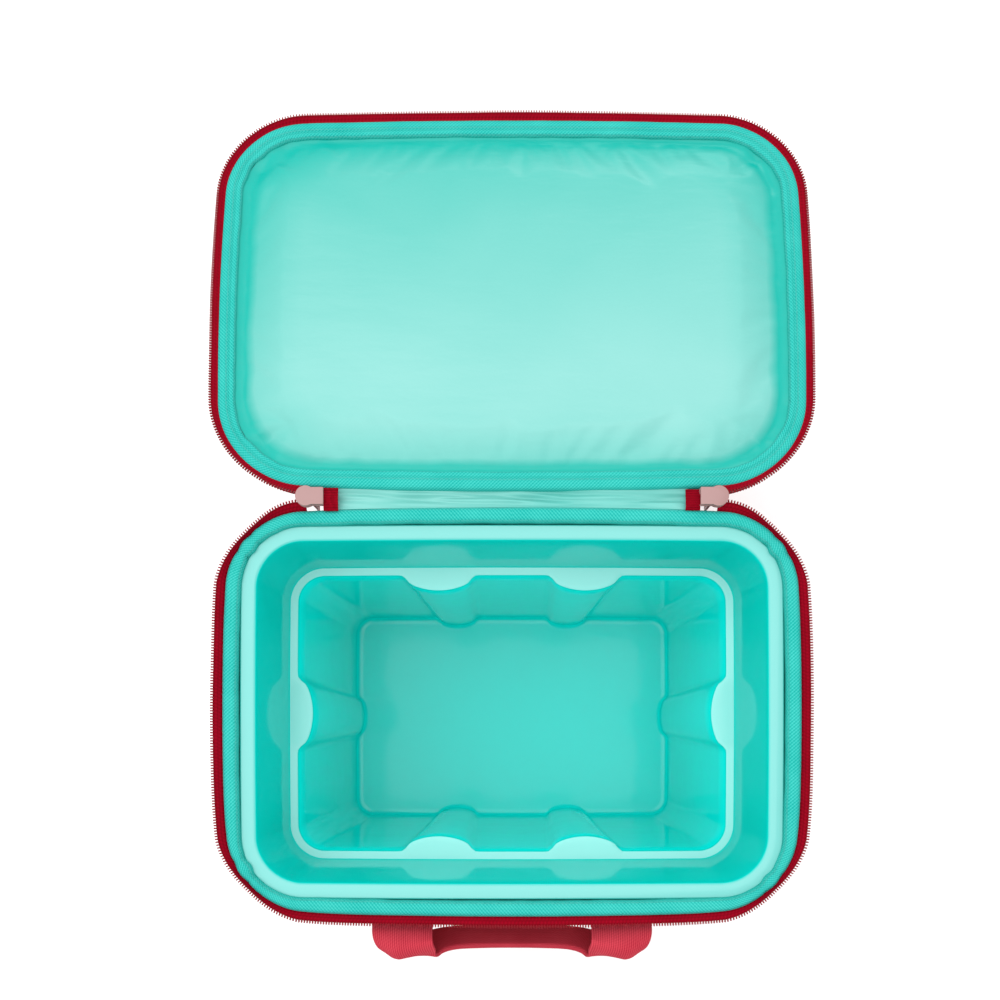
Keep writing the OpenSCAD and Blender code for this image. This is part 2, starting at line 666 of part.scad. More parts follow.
spring_z = grip_top - grip_h + grip_wall;
spring_r = 2.4;
wire_r = 0.35;
turns = 2;
ring_n = 32;
sides_n = 8;
function coil(i) = let (a = 360 * turns * i / ring_n)
    [spring_r * cos(a), spring_r * sin(a), wire_r + 0.05 + (yoke_z - spring_z - 2 * wire_r - 0.15) * i / ring_n];
function coil_ring(i) = let (a = 360 * turns * i / ring_n)
    [for (k = [0:sides_n - 1]) let (b = 360 * k / sides_n)
        coil(i) + [cos(a) * wire_r * cos(b), sin(a) * wire_r * cos(b), wire_r * sin(b)]];

module button_spring() color("silver") translate([tube_x, 0, spring_z]) polyhedron(
    points = [for (i = [0:ring_n]) each coil_ring(i)],
    faces = concat([[for (k = [0:sides_n - 1]) k]],
        [for (i = [0:ring_n - 1], k = [0:sides_n - 1]) let (a = i * sides_n, j = (k + 1) % sides_n)
            [a + k, a + sides_n + k, a + sides_n + j, a + j]],
        [[for (k = [sides_n - 1:-1:0]) ring_n * sides_n + k]]), convexity = 6);

// ---------- hard liner ----------

// A rib across the wall at the origin, standing in towards +Y
module rib_outline() {
    r = (rib_w * rib_w / 4 + rib_in * rib_in) / (2 * rib_in);
    intersection() {
        translate([0, rib_in - r]) circle(r, $fn = 96);
        translate([-rib_w / 2, -4]) square([rib_w, rib_in + 4]);
    }
}

module ribs(w, d) {
    for (x = [-1, 1]) {
        translate([x * rib_pitch / 2, -d / 2]) rib_outline();
        translate([x * rib_pitch / 2, d / 2]) rotate(180) rib_outline();
    }
    translate([-w / 2, 0]) rotate(-90) rib_outline();
    translate([w / 2, 0]) rotate(90) rib_outline();
}

mouth_in = liner_rim_w;                                     // inside of the rim, from its edge
ledge_in = mouth_in + liner_draft;                          // wall just above the ledge
well_in = ledge_in + ledge_w;                               // wall just below the ledge
rib_hollow = well_in + liner_floor_draft / 2 - liner_t;      // the ribs are hollow from outside
module liner_band(inset) polygon(bowed(liner_w - 2 * inset, liner_d - 2 * inset, liner_r - inset / 2, bow / 4));

module lower_band(inset) difference() {
    liner_band(inset);
    ribs(liner_w - 2 * inset, liner_d - 2 * inset);
}

module hard_liner() color(teal) difference() {
    union() {
        slab(liner_top - 3, liner_top) liner_band(0);
        slab(liner_top - ledge_depth - liner_t, liner_top - 3 + eps) liner_band(mouth_in + liner_draft / 2 - liner_t);
        slab(liner_floor - liner_t, liner_top - ledge_depth - liner_t + eps) liner_band(well_in - liner_t);
    }
    slab(liner_top - ledge_depth, liner_top + 1) liner_band(mouth_in + liner_draft / 2);
    slab(liner_floor, liner_top) lower_band(well_in + liner_floor_draft / 2);
    slab(liner_floor - liner_t - 1, liner_top - ledge_depth - liner_t) ribs(liner_w - 2 * rib_hollow, liner_d - 2 * rib_hollow);
}

// ---------- lid, drawn closed and folded open about the hinge ----------

module folded_open()
    translate([0, hinge_y, hinge_z]) rotate([180 - lid_droop, 0, 0]) translate([0, -hinge_y, -hinge_z]) children();
module lid_slab(z0, z1) folded_open() translate([0, lid_y, 0]) slab(lid_z + z0, lid_z + z1) children();

module lid_panel() color(red) difference() {
    lid_slab(lid_edge_h, lid_h) lid_outline(-lining_t);
    lid_slab(lid_edge_h - 1, lid_h - lid_skin_t) lid_outline(-lining_t - lid_skin_t);
}

module lid_foam() color("whitesmoke") {
    lid_slab(lid_edge_h, lid_h - lid_skin_t) lid_outline(-lining_t - lid_skin_t);
    lid_slab(-pad_drop + lid_skin_t, lid_edge_h + eps) lid_outline(-edge_w - 2);
}

module lid_lining() color(teal) lid_slab(-pad_drop, -pad_drop + lid_skin_t) lid_outline(-edge_w - 2);

module lid_binding() color(teal) lid_slab(0, lid_edge_h) lid_ring(0, -edge_w);

module lid_zip_tape() color(red) lid_slab(1, 1 + tape_t) intersection() {
    lid_ring(tape_w, 0);
    zip_zone(0);
}

module lid_zip_teeth() color(red) lid_slab(0.3, 2.9) intersection() {
    lid_ring(tape_w + teeth_w, tape_w);
    zip_zone(0);
}

module hinge_flap_lid() color(teal) folded_open()
    translate([-flap_w / 2, hinge_y - fold_lid, hinge_z + 6]) cube([flap_w, fold_lid - 0.4, 1.5]);

// Pull tab that hangs from a slider's loop
module pull(side) color("rosybrown") slider_at(side) translate([0, 0, -slider_t / 2 - arch_hole / 2]) {
    difference() {
        translate([0, 0, pull_t / 2 - pull_l / 2]) cube([pull_t, 5.6, pull_l], center = true);
        translate([0, 0, -pull_l + 4.5]) rotate([0, 90, 0]) cylinder(r = 1.5, h = 4, center = true, $fn = 24);
        translate([0, 0, -pull_t / 2 - 1.7]) cube([3, 3.4, 3.4], center = true);
    }
}

module left_pull() pull(-1);
module right_pull() pull(1);

base_tray();
foot_skid();
front_panel();
back_panel();
left_panel();
right_panel();
bottom_panel();
front_foam();
back_foam();
left_foam();
right_foam();
floor_foam();
bag_lining();
rim_binding();
bag_zip_tape();
bag_zip_teeth();
zip_end_tabs();
left_slider();
right_slider();
hinge_flap_bag();
front_pocket();
pocket_zip();
label_patch();
strap_anchors();
wheel_housings();
front_axle();
back_axle();
axle_clips();
base_screws();
trolley_backplate();
outer_tubes();
trolley_bezel();
trolley_foot();
trolley_cover();
trolley_screws();
front_wheel_hub();
front_wheel_tyre();
front_wheel_bush();
back_wheel_hub();
back_wheel_tyre();
back_wheel_bush();
hard_liner();
lid_panel();
lid_foam();
lid_lining();
lid_binding();
lid_zip_tape();
lid_zip_teeth();
hinge_flap_lid();
front_strap();
lower_tubes();
middle_tubes();
upper_tubes();
grip_outer_half();
grip_inner_half();
release_button();
button_spring();
left_pull();
right_pull();
pocket_slider();
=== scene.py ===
# %% [markdown]
# # A soft cooler on wheels
# This lesson dresses a plain CAD model as the real thing: a red coated bag on a black wheeled tray, a padded lid
# folded open behind it, teal binding tape and film inside, and a glossy moulded liner that lifts out.
# The CAD model is loaded first. It fixes every size and says which piece moves with which body.

# %% Load the CAD model
import bpy
import math
from mathutils import Matrix, Vector, noise


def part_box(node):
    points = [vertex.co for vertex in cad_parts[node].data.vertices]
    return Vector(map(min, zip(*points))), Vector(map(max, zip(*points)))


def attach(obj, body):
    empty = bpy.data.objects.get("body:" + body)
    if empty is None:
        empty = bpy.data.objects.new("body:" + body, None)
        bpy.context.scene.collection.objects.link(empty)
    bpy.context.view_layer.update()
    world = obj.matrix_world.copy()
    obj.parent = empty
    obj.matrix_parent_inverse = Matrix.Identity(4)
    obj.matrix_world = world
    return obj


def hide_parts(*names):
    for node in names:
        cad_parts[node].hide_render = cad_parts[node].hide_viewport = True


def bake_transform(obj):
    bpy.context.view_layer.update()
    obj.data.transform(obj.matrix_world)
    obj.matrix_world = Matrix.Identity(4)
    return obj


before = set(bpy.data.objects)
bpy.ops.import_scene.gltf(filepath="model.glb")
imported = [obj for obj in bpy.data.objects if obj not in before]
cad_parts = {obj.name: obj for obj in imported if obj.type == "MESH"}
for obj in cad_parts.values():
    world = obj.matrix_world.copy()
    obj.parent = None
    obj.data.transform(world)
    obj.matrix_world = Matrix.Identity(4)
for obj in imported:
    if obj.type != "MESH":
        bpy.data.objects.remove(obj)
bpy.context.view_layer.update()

# %% [markdown]
# The lid, the liner and the bag are all rounded rectangles whose sides bow outwards, as sewn and moulded walls do.
# The sizes below come from the CAD pieces' own boxes, so the two models can't drift apart. One small class walks
# round such an outline by its length, which is what tape, teeth and stitches need.

# %% Sizes and the bowed outline
MM = 0.001
rim_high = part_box("rim_binding")[1]
RIM_Z = rim_high.z
BAG_W = 2 * (rim_high.x - 0.8 * MM)
BAG_D = 2 * (rim_high.y - 0.8 * MM)
BAG_R = 46 * MM
BOW = 4 * MM
HINGE = Vector((0, BAG_D / 2 + 6 * MM, RIM_Z + 3 * MM))
LID_Z = RIM_Z + 6 * MM
LID_W, LID_D, LID_R = 385 * MM, 256 * MM, 54 * MM
LID_Y = HINGE.y - 7 * MM - LID_D / 2
DROOP = math.radians(6.5)
OPEN_LID = Matrix.Translation(HINGE) @ Matrix.Rotation(math.pi - DROOP, 4, "X") @ Matrix.Translation(-HINGE)
FLOOR_Z = -12 * MM


class Outline:
    """A rounded rectangle with bowed sides. It starts at the middle of the back and runs towards -X."""

    def __init__(self, w, d, r, bow, y=0.0, front_r=None, steps=40):
        a, b = w / 2 - bow, d / 2 - bow
        radii = (r, front_r or r, front_r or r, r)
        signs = ((-1, 1), (-1, -1), (1, -1), (1, 1))
        points = []
        for k, ((sx, sy), r) in enumerate(zip(signs, radii)):
            cx, cy = sx * (a - r), sy * (b - r)
            for i in range(steps + 1):
                turn = math.radians(90 + 90 * k + 90 * i / steps)
                points.append((cx + r * math.cos(turn), cy + r * math.sin(turn)))
            (nx, ny), next_r = signs[(k + 1) % 4], radii[(k + 1) % 4]
            way = math.radians(180 + 90 * k)
            end = (cx + r * math.cos(way), cy + r * math.sin(way))
            goal = (nx * (a - next_r) + next_r * math.cos(way), ny * (b - next_r) + next_r * math.sin(way))
            for i in range(1, steps):
                t = i / steps
                points.append((end[0] + (goal[0] - end[0]) * t, end[1] + (goal[1] - end[1]) * t))
        points = [Vector((px + bow * px / a * (1 - (py / b) ** 2), py + bow * py / b * (1 - (px / a) ** 2)))
                  for px, py in points]
        first = min(range(len(points)), key=lambda i: (abs(points[i].x) if points[i].y > 0 else 9))
        self.points = points[first:] + points[:first]
        self.y = y
        self.along = [0.0]
        for i, p in enumerate(self.points):
            self.along.append(self.along[-1] + (self.points[(i + 1) % len(self.points)] - p).length)
        self.length = self.along[-1]

    def at(self, t, out=0.0):
        """The place at share t of the way round, moved outwards, and the way that outwards is there."""
        goal = (t % 1.0) * self.length
        low, high = 0, len(self.points)
        while high - low > 1:
            middle = (low + high) // 2
            low, high = (middle, high) if self.along[middle] <= goal else (low, middle)
        p, q = self.points[low], self.points[(low + 1) % len(self.points)]
        share = (goal - self.along[low]) / max(1e-9, self.along[low + 1] - self.along[low])
        r, s = self.points[low - 1], self.points[(low + 2) % len(self.points)]
        way = ((q - r) * (1 - share) + (s - p) * share).normalized()
        outwards = Vector((way.y, -way.x))
        place = p + (q - p) * share + outwards * out
        return Vector((place.x, place.y + self.y)), outwards


bag_line = Outline(BAG_W, BAG_D, BAG_R, BOW)
lid_line = Outline(LID_W, LID_D, LID_R, BOW, LID_Y, 48 * MM)
check, facing = bag_line.at(0.0)
print("bag outline", round(bag_line.length, 3), "m round, back middle", tuple(round(v, 3) for v in check),
      "facing", tuple(round(v, 2) for v in facing), "lid", round(lid_line.length, 3))

# %% [markdown]
# The object is seen from straight above, so the camera looks down the Z axis. A shift in the lens, not a tilt,
# puts the bag low in the frame, which keeps the rim's edges parallel.

# %% Camera
camera_data = bpy.data.cameras.new("camera")
camera = bpy.data.objects.new("camera", camera_data)
bpy.context.scene.collection.objects.link(camera)
camera_data.lens = 35
camera_data.sensor_width = 36
camera.location = (0, -8.4 * MM, RIM_Z - 4 * MM + 0.630)
camera_data.shift_x = -0.012
camera_data.shift_y = 0.225
camera_data.clip_start = 0.01
bpy.context.scene.camera = camera
print("camera at", tuple(round(v, 3) for v in camera.location))

# %% [markdown]
# ## Light and floor
# A catalogue look: a wide soft light above, weaker ones at the sides, and a pale floor. The floor is a large plane,
# and the world gives a little even light so that no shadow goes black.

# %% Floor, lights and world
def clear():
    if bpy.context.object and bpy.context.object.mode != "OBJECT":
        bpy.ops.object.mode_set(mode="OBJECT")
    bpy.ops.object.select_all(action="DESELECT")


clear()
bpy.ops.mesh.primitive_plane_add(size=12, location=(0, 0, FLOOR_Z - 0.0004))
floor = bpy.context.object
floor.name = "floor"


def soft_light(name, place, aim, width, depth, power, tint=(1, 1, 1)):
    clear()
    bpy.ops.object.light_add(type="AREA", location=place)
    lamp = bpy.context.object
    lamp.name = name
    lamp.data.shape = "RECTANGLE"
    lamp.data.size, lamp.data.size_y = width, depth
    lamp.data.energy = power
    lamp.data.color = tint
    lamp.rotation_euler = (Vector(aim) - Vector(place)).to_track_quat("-Z", "Y").to_euler()
    return lamp


soft_light("light_above", (-0.5, 0.3, 2.6), (0, 0.05, 0.3), 2.6, 2.6, 40)
soft_light("light_left", (-2.2, 0.2, 1.5), (0, 0, 0.2), 1.4, 1.4, 10)
soft_light("light_right", (2.0, -0.9, 1.4), (0, 0, 0.2), 1.4, 1.2, 7)
soft_light("light_back", (0.6, 2.4, 1.4), (0, 0.1, 0.2), 1.4, 1.0, 12)
scene = bpy.context.scene
scene.view_settings.view_transform = "Standard"
world = bpy.data.worlds.new("studio")
scene.world = world
world.use_nodes = True
world.node_tree.nodes["Background"].inputs["Color"].default_value = (1, 1, 1, 1)
world.node_tree.nodes["Background"].inputs["Strength"].default_value = 0.95

# %% [markdown]
# ## A small language for materials
# A material is a sum of simple pictures: threads, ribs, stitches, dirt. Written as nodes by hand these get long, so a
# class wraps a node's socket and turns plus, minus and times into Math nodes. One method adds every other node.

# %% The socket class and the finish maker
class Value:
    """A socket that can be used in sums."""

    def __init__(self, tree, socket):
        self.tree, self.socket = tree, socket

    def math(self, operation, *others, first=None):
        node = self.tree.nodes.new("ShaderNodeMath")
        node.operation = operation
        for place, item in enumerate([self if first is None else first, *others]):
            if isinstance(item, Value):
                self.tree.links.new(item.socket, node.inputs[place])
            else:
                node.inputs[place].default_value = item
        return Value(self.tree, node.outputs[0])

    def __add__(self, other):
        return self.math("ADD", other)

    def __mul__(self, other):
        return self.math("MULTIPLY", other)

    def __sub__(self, other):
        return self.math("SUBTRACT", other)

    def __rsub__(self, other):
        return self.math("SUBTRACT", self, first=other)

    def __truediv__(self, other):
        return self.math("DIVIDE", other)

    def __pow__(self, other):
        return self.math("POWER", other)

    __radd__, __rmul__ = __add__, __mul__

    def sine(self):
        return self.math("SINE")

    def part(self):
        return self.math("FRACT")

    def size(self):
        return self.math("ABSOLUTE")

    def clamped(self):
        return self.math("MINIMUM", 1.0).math("MAXIMUM", 0.0)

    def most(self, other):
        return self.math("MAXIMUM", other)

    def ramp(self, low, high):
        """0 under low, 1 over high, and a straight line between."""
        return ((self - low) / (high - low)).clamped()


class Finish:
    """A material under construction."""

    def __init__(self, name, colour, roughness, **sockets):
        self.material = bpy.data.materials.new(name)
        self.material.use_nodes = True
        self.tree = self.material.node_tree
        self.shader = self.tree.nodes["Principled BSDF"]
        self.shader.inputs["Base Color"].default_value = (*colour, 1)
        self.shader.inputs["Roughness"].default_value = roughness
        for key, value in sockets.items():
            self.shader.inputs[key.replace("_", " ")].default_value = value

    def node(self, kind, settings=(), output=0, **inputs):
        node = self.tree.nodes.new("ShaderNode" + kind)
        for key, value in dict(settings).items():
            setattr(node, key, value)
        for key, value in inputs.items():
            numbered = key[0] == "n" and key[1:].isdigit()
            socket = node.inputs[int(key[1:])] if numbered else node.inputs[key.replace("_", " ")]
            if isinstance(value, Value):
                self.tree.links.new(value.socket, socket)
            else:
                socket.default_value = value
        return Value(self.tree, node.outputs[output])

    def place(self, source="Object"):
        """X, Y and Z on the piece, in metres, or U and V of its map."""
        spot = self.node("TexCoord", output=source)
        split = self.tree.nodes.new("ShaderNodeSeparateXYZ")
        self.tree.links.new(spot.socket, split.inputs[0])
        return [Value(self.tree, s) for s in split.outputs]

    def cloud(self, scale, detail=3.0, roughness=0.55, stretch=(1, 1, 1), source="Object"):
        spot = self.node("TexCoord", output=source)
        moved = self.node("Mapping", Vector=spot, Scale=stretch)
        return self.node("TexNoise", Vector=moved, Scale=scale, Detail=detail, Roughness=roughness)

    def blend(self, share, low, high):
        """A colour between two others."""
        node = self.tree.nodes.new("ShaderNodeMix")
        node.data_type = "RGBA"
        self.tree.links.new(share.socket, node.inputs["Factor"])
        for socket, item in ((node.inputs[6], low), (node.inputs[7], high)):
            if isinstance(item, Value):
                self.tree.links.new(item.socket, socket)
            else:
                socket.default_value = (*item, 1)
        return Value(self.tree, node.outputs[2])

    def paint(self, socket, value):
        self.tree.links.new(value.socket, self.shader.inputs[socket])
        return self

    def bump(self, height, depth, strength=1.0):
        node = self.node("Bump", Height=height, Distance=depth, Strength=strength)
        return self.paint("Normal", node)


floor_finish = Finish("pale_floor", (0.93, 0.93, 0.93), 0.9)
floor.data.materials.append(floor_finish.material)
print("finish made:", floor_finish.material.name)

# %% [markdown]
# ## Finishes
# The bag is a coated polyester: a fine plain weave under a thin coat, so it has a soft sheen and a slightly broken
# highlight. Threads are drawn as two crossed waves in object space, faded by which way the surface faces.

# %% Woven and coated finishes
def weave_height(f, across, along, threads):
    """Crossed threads at a given count to the metre: over in one square, under in the next."""
    u, v = across * threads, along * threads
    row = (u * math.pi).sine().size()
    column = (v * math.pi).sine().size()
    cell = (u.math("FLOOR") + v.math("FLOOR")).math("MODULO", 2.0).size()
    return row * cell + column * (1 - cell)


def coated_cloth(name, colour, deep, threads=1100):
    f = Finish(name, colour, 0.5, Specular_IOR_Level=0.22)
    x, y, z = f.place()
    normal = f.node("NewGeometry", output="Normal")
    split = f.tree.nodes.new("ShaderNodeSeparateXYZ")
    f.tree.links.new(normal.socket, split.inputs[0])
    facing_x = Value(f.tree, split.outputs[0]).size().ramp(0.65, 0.75)
    facing_z = Value(f.tree, split.outputs[2]).size().ramp(0.65, 0.75)
    across = y * facing_x + x * (1 - facing_x)
    along = y * facing_z + z * (1 - facing_z)
    threads_up = weave_height(f, across, along, threads)
    patches = f.cloud(9, 4)
    rubbed = f.cloud(60, 5)
    f.paint("Base Color", f.blend((patches * 0.8 + threads_up * 0.35).clamped(), deep, colour))
    f.paint("Roughness", rubbed * 0.25 + 0.38)
    f.bump(threads_up + patches * 2.0, 0.00012)
    return f.material


red_cloth = coated_cloth("red_cloth", (0.34, 0.001, 0.010), (0.22, 0.000, 0.005))


def woven_band(name, colour, deep, ribs, length, width, pitch=0.0011, stitches=(), line_share=0.5):
    """Tape with a map: U runs along it and V across it, each from 0 to 1. Each stitch row is (V, colour)."""
    f = Finish(name, colour, 0.8, Specular_IOR_Level=0.05)
    u, v, _ = f.place("UV")
    along, across = u * length, v * width
    slant = ((along + across * 0.9) / pitch * math.pi).sine()
    counter = ((along - across * 0.9) / pitch * math.pi).sine()
    beads = ((slant * 0.36 + counter * 0.14 + 0.5).clamped() ** 1.2) * (1 - line_share)
    lines = (across / (width / ribs) * math.pi).sine().size()
    height = beads + lines * line_share
    shade = f.cloud(45, 3)
    colour_now = f.blend((height * 0.85 + shade * 0.5 - 0.2).clamped(), deep, colour)
    for row, thread in stitches:
        near = 1 - ((v - row).size() * (width / 0.0007)).clamped()
        dash = ((along / 0.0032).part() - 0.5).size().ramp(0.44, 0.36)
        stitch = (near * dash).ramp(0.15, 0.4)
        groove = 1 - ((v - row).size() * (width / 0.0016)).clamped()
        colour_now = f.blend(stitch, colour_now, thread)
        height = height - groove * 1.4 + stitch * 2.0
    f.paint("Base Color", colour_now)
    f.bump(height, 0.00022)
    return f.material


TEAL_TAPE, TEAL_DEEP = (0.062, 0.52, 0.46), (0.001, 0.31, 0.27)
print("cloth finishes ready")

# %% [markdown]
# The liner is one glossy injection moulding, and the film inside the lid is a soft shiny plastic. Light and shade are
# painted into both colours. The liner is painted lighter where it faces up and on its rim and ledge, as painted
# highlights from the wide light, and a deeper teal where it turns down into the bag, painted brighter there than the
# real plastic to make up for the shade. The films of the lid and hinge have painted sheen in broad patches, and the
# lid's film a painted highlight on its crown and a painted shade by its seam.

# %% Glossy finishes
liner_low, liner_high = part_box("hard_liner")
LEDGE_Z = liner_high.z - 73 * MM


# Painted light: this plastic's colour is painted lighter on faces that point up, on the rim and on the ledge, as
# painted highlights from the wide light above. Below the ledge the walls and the floor are painted brighter than the
# real plastic, to make up for the shade inside the bag.
def moulded(name, side, deep_side_painted_bright, floor_painted_bright, top, ledge_painted_highlight, roughness, **sockets):
    f = Finish(name, side, roughness, Specular_IOR_Level=0.3, **sockets)
    normal = f.node("NewGeometry", output="Normal")
    split = f.tree.nodes.new("ShaderNodeSeparateXYZ")
    f.tree.links.new(normal.socket, split.inputs[0])
    # Up-facing faces above the ledge take the painted highlight colours of the rim and the ledge.
    up = Value(f.tree, split.outputs[2]).ramp(0.55, 0.98)
    x, y, z = f.place()
    high = z.ramp(LEDGE_Z - 0.03, LEDGE_Z - 0.005) * 0.95 + 0.05
    # Below the ledge the wall and floor colours are painted brighter than the plastic, to make up for shade.
    low = f.blend(up, deep_side_painted_bright, floor_painted_bright)
    wall = f.blend(z.ramp(LEDGE_Z - 0.004, LEDGE_Z + 0.001), low, side)
    lit = f.blend(z.ramp(LEDGE_Z + 0.003, LEDGE_Z + 0.02), ledge_painted_highlight, top)
    f.paint("Base Color", f.blend(up * high, wall, lit))
    f.paint("Roughness", f.cloud(30, 3) * 0.06 + (roughness - 0.03))
    f.bump(f.cloud(25, 2), 0.00025)
    return f.material


# Painted light: the deep wall and floor colours are painted brighter than the plastic, and the rim and ledge colours
# are painted highlights.
liner_plastic = moulded("liner_plastic", side=(0.001, 0.56, 0.50), deep_side_painted_bright=(0.001, 0.86, 0.81),
                        floor_painted_bright=(0.004, 0.76, 0.71), top=(0.165, 0.52, 0.485),
                        ledge_painted_highlight=(0.26, 0.69, 0.65), roughness=0.1)


# Painted light: the film's colour runs between its own teal and a second, paler colour in broad random patches. For the
# lid and the hinge that paler colour is whitish, a painted sheen; for the bag's lining it is only a slightly paler
# tone. With a crown, the film also takes a painted highlight on its middle, in a band at the crown's row and towards
# one side, and a painted shade in the valley by its seam.
def film(name, colour, light, crown=None):
    f = Finish(name, colour, 0.3, Specular_IOR_Level=0.3)
    broad = f.cloud(7, 2, 0.5)
    if crown:
        u, v, _ = f.place("UV")
        fine_edge = f.cloud(30, 2) - 0.5
        ring = (u * 2 - 1).size().most((v * 2 - 1).size())
        # Painted highlight: a band at the crown's row, the middle and one side are painted paler; painted shade: the
        # valley by the seam keeps the darker teal.
        low_light = 1 - (v - crown).size().ramp(0.05, 0.75)
        valley = (ring + fine_edge * 0.03).ramp(0.965, 0.925)
        middle = (1 - ring).ramp(0.03, 0.25)
        pale = (broad * 0.35 + middle * 0.3 + low_light * 0.62 + u * 0.12 - 0.22).clamped()
        broad = (pale * valley).clamped()
    fine = f.cloud(55, 4, 0.6, (1, 1, 1))
    creases = f.cloud(16, 3, 0.5, (1, 3.5, 1))
    f.paint("Base Color", f.blend((broad * 1.1 - 0.05).clamped(), colour, light))
    f.paint("Roughness", fine * 0.2 + 0.24)
    f.bump(creases * 3.0 + fine * 0.5, 0.0004)
    return f.material


# The second colour is a painted sheen on the lid and hinge films and a slightly paler tone on the lining; 0.78 is the
# row of the lid film's painted highlight.
lid_film = film("lid_film", (0.001, 0.37, 0.31), (0.20, 0.50, 0.46), 0.78)
hinge_shine = film("hinge_shine", (0.004, 0.36, 0.31), (0.30, 0.60, 0.56))
inner_film = film("inner_film", (0.012, 0.36, 0.31), (0.03, 0.42, 0.37))
print("glossy finishes ready")

# %% [markdown]
# The hard parts are moulded nylon, rubber, anodised tube and plated steel. A grain that breaks up the highlight, and
# slightly lighter patches from handling, are enough to tell them apart.

# %% Hard finishes
def textured(name, colour, roughness, grain=900, depth=0.00008, wear=0.12, **sockets):
    f = Finish(name, colour, roughness, **sockets)
    fine = f.cloud(grain, 3)
    patches = f.cloud(14, 4)
    lighter = tuple(min(1, c * 1.6 + 0.02) for c in colour)
    f.paint("Base Color", f.blend((patches * wear * 4 - wear).clamped(), colour, lighter))
    f.paint("Roughness", patches * 0.2 + (roughness - 0.1))
    f.bump(fine, depth)
    return f.material


black_plastic = textured("black_plastic", (0.018, 0.018, 0.020), 0.5)
grey_plastic = textured("grey_plastic", (0.16, 0.16, 0.17), 0.45)
tyre_rubber = textured("tyre_rubber", (0.022, 0.022, 0.022), 0.75, 500, 0.00012)
slider_coat = textured("slider_coat", (0.30, 0.165, 0.158), 0.42, 700, 0.00003, 0.1, Metallic=0.0, Coat_Weight=0.2)
steel = textured("plated_steel", (0.55, 0.55, 0.57), 0.28, 300, 0.00002, 0.1, Metallic=1.0)
foam_board = textured("foam_board", (0.82, 0.82, 0.79), 0.9, 600, 0.0002)


def brushed_tube():
    f = Finish("brushed_tube", (0.66, 0.67, 0.69), 0.3, Metallic=1.0)
    lines = f.cloud(220, 4, 0.6, (1, 1, 0.02))
    f.paint("Roughness", lines * 0.3 + 0.16)
    f.bump(lines, 0.00003)
    return f.material


tube_metal = brushed_tube()
print("hard finishes ready")

# %% [markdown]
# ## Helpers for shaping
# Sewn and folded goods are bent sheets. A grid primitive is a flat sheet with a ready map, so each such piece starts
# as one and every point is then laid in its place by a rule. Hard pieces are copies of the CAD solids with their
# edges rounded, because a moulded or pressed edge is never sharp and a sharp one catches no light.

# %% Lay, thicken, round and fit helpers
def finished(piece, material, smooth=60):
    piece.data.materials.clear()
    piece.data.materials.append(material)
    clear()
    piece.select_set(True)
    bpy.context.view_layer.objects.active = piece
    bpy.ops.object.shade_smooth_by_angle(angle=math.radians(smooth))
    return piece


def lay(name, around, across, rule, closed=False, matrix=None):
    """A grid primitive whose points go where rule(u, v) says, with u and v from 0 to 1."""
    clear()
    bpy.ops.mesh.primitive_grid_add(x_subdivisions=around, y_subdivisions=across, size=2)
    piece = bpy.context.object
    piece.name = piece.data.name = name
    for vertex in piece.data.vertices:
        vertex.co = rule((vertex.co.x + 1) / 2, (vertex.co.y + 1) / 2)
    if matrix is not None:
        piece.data.transform(matrix)
    if closed:
        bpy.ops.object.mode_set(mode="EDIT")
        bpy.ops.mesh.select_all(action="SELECT")
        bpy.ops.mesh.remove_doubles(threshold=0.00002)
        bpy.ops.object.mode_set(mode="OBJECT")
    return piece


def modify(piece, kind, **settings):
    """Adds a modifier and applies it at once."""
    clear()
    piece.select_set(True)
    bpy.context.view_layer.objects.active = piece
    modifier = piece.modifiers.new(kind.lower(), kind)
    for key, value in settings.items():
        setattr(modifier, key, value)
    bpy.ops.object.modifier_apply(modifier=modifier.name)
    return piece


def outwards(piece, inside=False):
    clear()
    piece.select_set(True)
    bpy.context.view_layer.objects.active = piece
    bpy.ops.object.mode_set(mode="EDIT")
    bpy.ops.mesh.select_all(action="SELECT")
    bpy.ops.mesh.normals_make_consistent(inside=inside)
    bpy.ops.object.mode_set(mode="OBJECT")
    return piece


def rounded_copy(node, width, segments=2, material=None, name=None):
    """A copy of a CAD solid, its loose triangles joined and its sharp edges rounded."""
    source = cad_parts[node]
    piece = bpy.data.objects.new(name or node + "_soft", source.data.copy())
    piece.data.name = piece.name
    bpy.context.scene.collection.objects.link(piece)
    clear()
    piece.select_set(True)
    bpy.context.view_layer.objects.active = piece
    bpy.ops.object.mode_set(mode="EDIT")
    bpy.ops.mesh.select_all(action="SELECT")
    bpy.ops.mesh.remove_doubles(threshold=0.00001)
    bpy.ops.mesh.dissolve_limited(angle_limit=math.radians(1))
    bpy.ops.object.mode_set(mode="OBJECT")
    modify(piece, "BEVEL", width=width, segments=segments, limit_method="ANGLE", angle_limit=math.radians(32),
           use_clamp_overlap=True)
    if material:
        finished(piece, material, 40)
    return piece


def put(piece, body, slot, *nodes):
    """The piece moves with a body and stands for some CAD nodes. Its slot is not used."""
    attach(piece, body)
    if nodes:
        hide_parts(*nodes)
    return piece


def wobble(x, y, z, size, seed=0.0):
    """A smooth random number about 0 at a place, with waves of about a size."""
    return noise.noise(Vector((x / size + seed, y / size - seed, z / size + 2.3 * seed)))


print("helpers ready")

# %% [markdown]
# ## The hard liner
# The liner is a deep moulded tub with a flat rim, a ledge for a rack of cans, and six ribs that stiffen the wall below
# it. A tub is a stack of closed outlines, each a little smaller and lower than the last, so the sheet runs round the
# outline one way and down the profile the other. Ribs are the same outline pushed inwards where they stand. The sheet
# is then given its wall, outwards from the side that shows, so that the tub also has an outside when it is lifted out.

